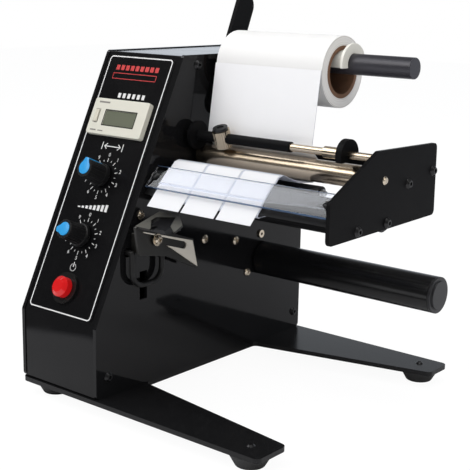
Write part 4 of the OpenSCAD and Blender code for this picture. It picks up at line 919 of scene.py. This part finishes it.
def blockAt(low, high):
    size = [(b - a) * mm for a, b in zip(low, high)]
    middle = [(a + b) / 2 * mm for a, b in zip(low, high)]
    bpy.ops.object.select_all(action="DESELECT")
    bpy.ops.mesh.primitive_cube_add(size=1, location=middle)
    block = bpy.context.object
    block.scale = size
    bpy.ops.object.transform_apply(location=False, rotation=False, scale=True)
    return block


# One piece from several, with its place in its mesh
def joined(parts):
    bpy.ops.object.select_all(action="DESELECT")
    for part in parts:
        part.select_set(True)
    bpy.context.view_layer.objects.active = parts[0]
    bpy.ops.object.join()
    bpy.ops.object.transform_apply(location=True, rotation=True, scale=True)
    return bpy.context.object


# Narrows or moves the corners of a block that pass the test, in its own frame
def reshape(block, test, narrow=1.0, outward=0.0):
    selectOnly(block)
    bpy.ops.object.mode_set(mode="EDIT")
    bpy.ops.mesh.select_all(action="DESELECT")
    bpy.ops.object.mode_set(mode="OBJECT")
    for vertex in block.data.vertices:
        vertex.select = test(vertex.co)
    bpy.ops.object.mode_set(mode="EDIT")
    bpy.ops.transform.resize(value=(narrow, 1, 1))
    bpy.ops.transform.translate(value=(0, outward * mm, 0))
    bpy.ops.object.mode_set(mode="OBJECT")


def capDisc():
    bpy.ops.object.select_all(action="DESELECT")
    bpy.ops.mesh.primitive_cylinder_add(vertices=caps["sides"], radius=caps["radius"] * mm,
                                        depth=caps["thick"] * mm,
                                        location=(0, 0, (caps["top"] - caps["thick"] / 2) * mm))
    return bpy.context.object


# The rib down the knob's side: narrow at its foot, leaning in at its top
def capRib():
    rib = caps["rib"]
    half = rib["width"] / 2
    block = blockAt((-half, rib["in"], rib["low"]), (half, rib["out"], caps["top"]))
    reshape(block, lambda corner: corner.z < 0, narrow=rib["foot"])
    reshape(block, lambda corner: corner.z > 0 and corner.y > 0, outward=-rib["lean"])
    return block


# The bar on the face, which tapers from the disc's width to the rib's
def capBar():
    rib = caps["rib"]
    wide = caps["radius"] - caps["inset"]
    tip = rib["out"] - rib["lean"] - caps["inset"]
    bar = blockAt((-wide, 0, caps["top"] - caps["thick"]), (wide, tip, caps["top"] - caps["sunk"]))
    reshape(bar, lambda corner: corner.y > 0, narrow=rib["width"] / 2 / wide)
    return bar


def makeCap(node, s, turn):
    cap = joined([capDisc(), capRib(), capBar()])
    rounding = cap.modifiers.new("rounding", "BEVEL")
    rounding.width = caps["rounding"] * mm
    rounding.segments = dressing["segments"]
    applyModifiers(cap)
    cap.matrix_world = panelFrame(dialColumn, s) @ Matrix.Rotation(math.radians(turn), 4, "Z")
    settle(cap, node + "_dressed", bodyOf[node], caps["finish"])
    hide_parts(node)


for name, dial in dials.items():
    makeCap(name + "_cap", dial["s"], dial["turn"])
print("knob caps made")

# panel prints

prints = {
    "lift": -0.1,  # top of the overlay, measured from the side walls' slope
    "thick": 0.04,
    "weld": 0.005,
    "cornerSegments": 6,
    "circleSegments": 40,
}


def flatPatch(width, height, x=0.0, y=0.0, turn=0.0):
    bpy.ops.object.select_all(action="DESELECT")
    bpy.ops.mesh.primitive_plane_add(size=1, location=(0, 0, 0))
    patch = bpy.context.object
    patch.scale = (width * mm, height * mm, 1)
    patch.location = (x * mm, y * mm, 0)
    bpy.ops.object.transform_apply(location=True, rotation=True, scale=True)
    patch.rotation_euler = (0, 0, turn)
    bpy.ops.object.transform_apply(location=False, rotation=True, scale=False)
    return patch


# Gives a flat shape its thickness and lays it on the sloping front
def pressInk(piece, name, x, s, material, lift=prints["lift"]):
    editAll(piece)
    bpy.ops.mesh.remove_doubles(threshold=prints["weld"] * mm)
    bpy.ops.mesh.extrude_region_move(TRANSFORM_OT_translate={"value": (0, 0, prints["thick"] * mm)})
    bpy.ops.mesh.select_all(action="SELECT")
    bpy.ops.mesh.normals_make_consistent(inside=False)
    bpy.ops.object.mode_set(mode="OBJECT")
    piece.matrix_world = panelFrame(x, s, lift)
    settle(piece, name, "frame", material)


# A flat frame with rounded corners
def borderRing(width, height, line, corner):
    ring = flatPatch(width, height)
    editAll(ring)
    bpy.ops.mesh.bevel(offset=corner * mm, segments=prints["cornerSegments"], affect="VERTICES")
    bpy.ops.mesh.select_all(action="SELECT")
    bpy.ops.mesh.inset(thickness=line * mm)
    bpy.ops.mesh.delete(type="FACE")
    bpy.ops.object.mode_set(mode="OBJECT")
    return ring


border = {"left": 5.2, "low": 3.6, "right": 60.6, "high": 174.0, "line": 0.75, "corner": 2.6}


def printBorder():
    width = border["right"] - border["left"]
    height = border["high"] - border["low"]
    x = (border["left"] + border["right"]) / 2
    s = (border["low"] + border["high"]) / 2
    pressInk(borderRing(width, height, border["line"], border["corner"]), "panelBorder", x, s, "whiteInk")


dialMarks = {
    "ticks": 20,
    "longTick": (9.6, 12.0, 0.42),  # inner radius, outer radius, width
    "shortTick": (9.8, 11.0, 0.34),
    "figures": 10,
    "figureRing": 14.2,
    "figureSize": 3.4,
}


def figureSign(figure):
    bpy.ops.object.select_all(action="DESELECT")
    bpy.ops.object.text_add(location=(0, 0, 0))
    sign = bpy.context.object
    sign.data.body = str(figure)
    sign.data.size = dialMarks["figureSize"] * mm
    sign.data.align_x = "CENTER"
    sign.data.align_y = "CENTER"
    bpy.ops.object.convert(target="MESH")
    return bpy.context.object


# Long and short ticks by turns, clockwise from the top
def printTicks(name, s):
    marks = []
    for step in range(dialMarks["ticks"]):
        near, far, width = dialMarks["longTick"] if step % 2 == 0 else dialMarks["shortTick"]
        turn = -math.radians(360 / dialMarks["ticks"] * step)
        marks.append(flatPatch(width, far - near, 0, (near + far) / 2, turn))
    pressInk(joined(marks), name + "Ticks", dialColumn, s, "whiteInk")


# Upright figures round the dial, clockwise from the top
def printFigures(name, s):
    figures = []
    for figure in range(dialMarks["figures"]):
        turn = math.radians(90 - 360 / dialMarks["figures"] * figure)
        sign = figureSign(figure)
        ring = dialMarks["figureRing"]
        sign.location = (ring * math.cos(turn) * mm, ring * math.sin(turn) * mm, 0)
        figures.append(sign)
    pressInk(joined(figures), name + "Figures", dialColumn, s, "whiteInk")


signs = {
    "line": 0.6,
    "length": {"s": 113.2, "tip": 7, "barb": (2, 1.6), "stop": (9, 2.2)},  # barb and stop: x, half height
    "speed": {"s": 71.6, "bars": 8, "width": 2.2, "low": 0.8, "grow": 0.55, "start": -12, "pitch": 3.4,
              "rise": 0.28},
    "power": {"s": 33.2, "radius": 2.3, "gap": 60, "bar": (0.6, 3.2)},
    "count": {"x": 34.6, "s": 147.4, "boxes": 6, "width": 2.4, "height": 3.2, "start": -10.5, "pitch": 4.2},
}


# A bent line of one width, drawn as patches end to end
def strip(points, width):
    parts = []
    for (ax, ay), (bx, by) in zip(points, points[1:]):
        part = flatPatch(math.hypot(bx - ax, by - ay) + width, width)
        part.rotation_euler = (0, 0, math.atan2(by - ay, bx - ax))
        part.location = ((ax + bx) / 2 * mm, (ay + by) / 2 * mm, 0)
        parts.append(part)
    return parts


# An open ring of short patches, open at the top by gap degrees
def circleLine(radius, line, gap):
    first, last = 90 + gap / 2, 450 - gap / 2
    count = prints["circleSegments"]
    points = []
    for step in range(count + 1):
        turn = math.radians(first + (last - first) * step / count)
        points.append((radius * math.cos(turn), radius * math.sin(turn)))
    return strip(points, line)


# Double arrow between two stops
def printLengthSign():
    sign = signs["length"]
    tip = sign["tip"]
    barbX, barbY = sign["barb"]
    stopX, stopY = sign["stop"]
    parts = strip([(-tip, 0), (tip, 0)], signs["line"])
    for side in (-1, 1):
        barb = side * (tip - barbX)
        parts += strip([(barb, barbY), (side * tip, 0), (barb, -barbY)], signs["line"])
    for side in (-1, 1):
        parts += strip([(side * stopX, stopY), (side * stopX, -stopY)], signs["line"])
    pressInk(joined(parts), "lengthSign", dialColumn, sign["s"], "whiteInk")


# Row of bars that grow to the right
def printSpeedSign():
    sign = signs["speed"]
    bars = []
    for bar in range(sign["bars"]):
        height = sign["low"] + sign["grow"] * bar
        bars.append(flatPatch(sign["width"], height, sign["start"] + sign["pitch"] * bar, sign["rise"] * bar))
    pressInk(joined(bars), "speedSign", dialColumn, sign["s"], "whiteInk")


def printPowerSign():
    sign = signs["power"]
    low, high = sign["bar"]
    circle = circleLine(sign["radius"], signs["line"], sign["gap"])
    bar = strip([(0, low), (0, high)], signs["line"])
    pressInk(joined(circle + bar), "powerSign", dialColumn, sign["s"], "whiteInk")


def printCountSign():
    sign = signs["count"]
    boxes = [flatPatch(sign["width"], sign["height"], sign["start"] + sign["pitch"] * box)
             for box in range(sign["boxes"])]
    pressInk(joined(boxes), "countSign", sign["x"], sign["s"], "whiteInk")


titles = {  # width, height, x, s of a block and of the box under the row
    "block": (3.0, 3.4, 32.2, 166.2),
    "blocks": 9,
    "pitch": 4.3,
    "box": (38.5, 4.2, 31.6, 160.4),
    "line": 0.45,
    "corner": 0.4,
}


# Plain blocks and a box where the panel has its title
def printTitles():
    width, height, x, s = titles["block"]
    half = (titles["blocks"] - 1) / 2
    blocks = [flatPatch(width, height, titles["pitch"] * (step - half)) for step in range(titles["blocks"])]
    pressInk(joined(blocks), "titleBlocks", x, s, "redInk")
    width, height, x, s = titles["box"]
    pressInk(borderRing(width, height, titles["line"], titles["corner"]), "titleBox", x, s, "redInk")


counter = {
    "lift": 3.9,  # front of the counter's case
    "frames": [  # name, width, height, x, s, line, corner, ink
        ("displayFrame", 28.4, 11.0, 34.6, 130.6, 0.7, 0.4, "displayInk"),
        ("keyFrame", 4.4, 9.4, 14.1, 131.3, 0.3, 0.5, "greyInk"),
    ],
    "marks": [(9.5, 1.1, 17.6, 140.6), (5.2, 0.9, 14.6, 121.7), (4.6, 0.7, 21.2, 121.6)],
}


def printCounter():
    for name, width, height, x, s, line, corner, ink in counter["frames"]:
        pressInk(borderRing(width, height, line, corner), name, x, s, ink, counter["lift"])
    marks = joined([flatPatch(*mark) for mark in counter["marks"]])
    pressInk(marks, "counterMarks", 0, 0, "greyInk", counter["lift"])


printBorder()
for name, dial in dials.items():
    printTicks(name, dial["s"])
    printFigures(name, dial["s"])
printLengthSign()
printSpeedSign()
printPowerSign()
printCountSign()
printTitles()
printCounter()
print("panel printed")
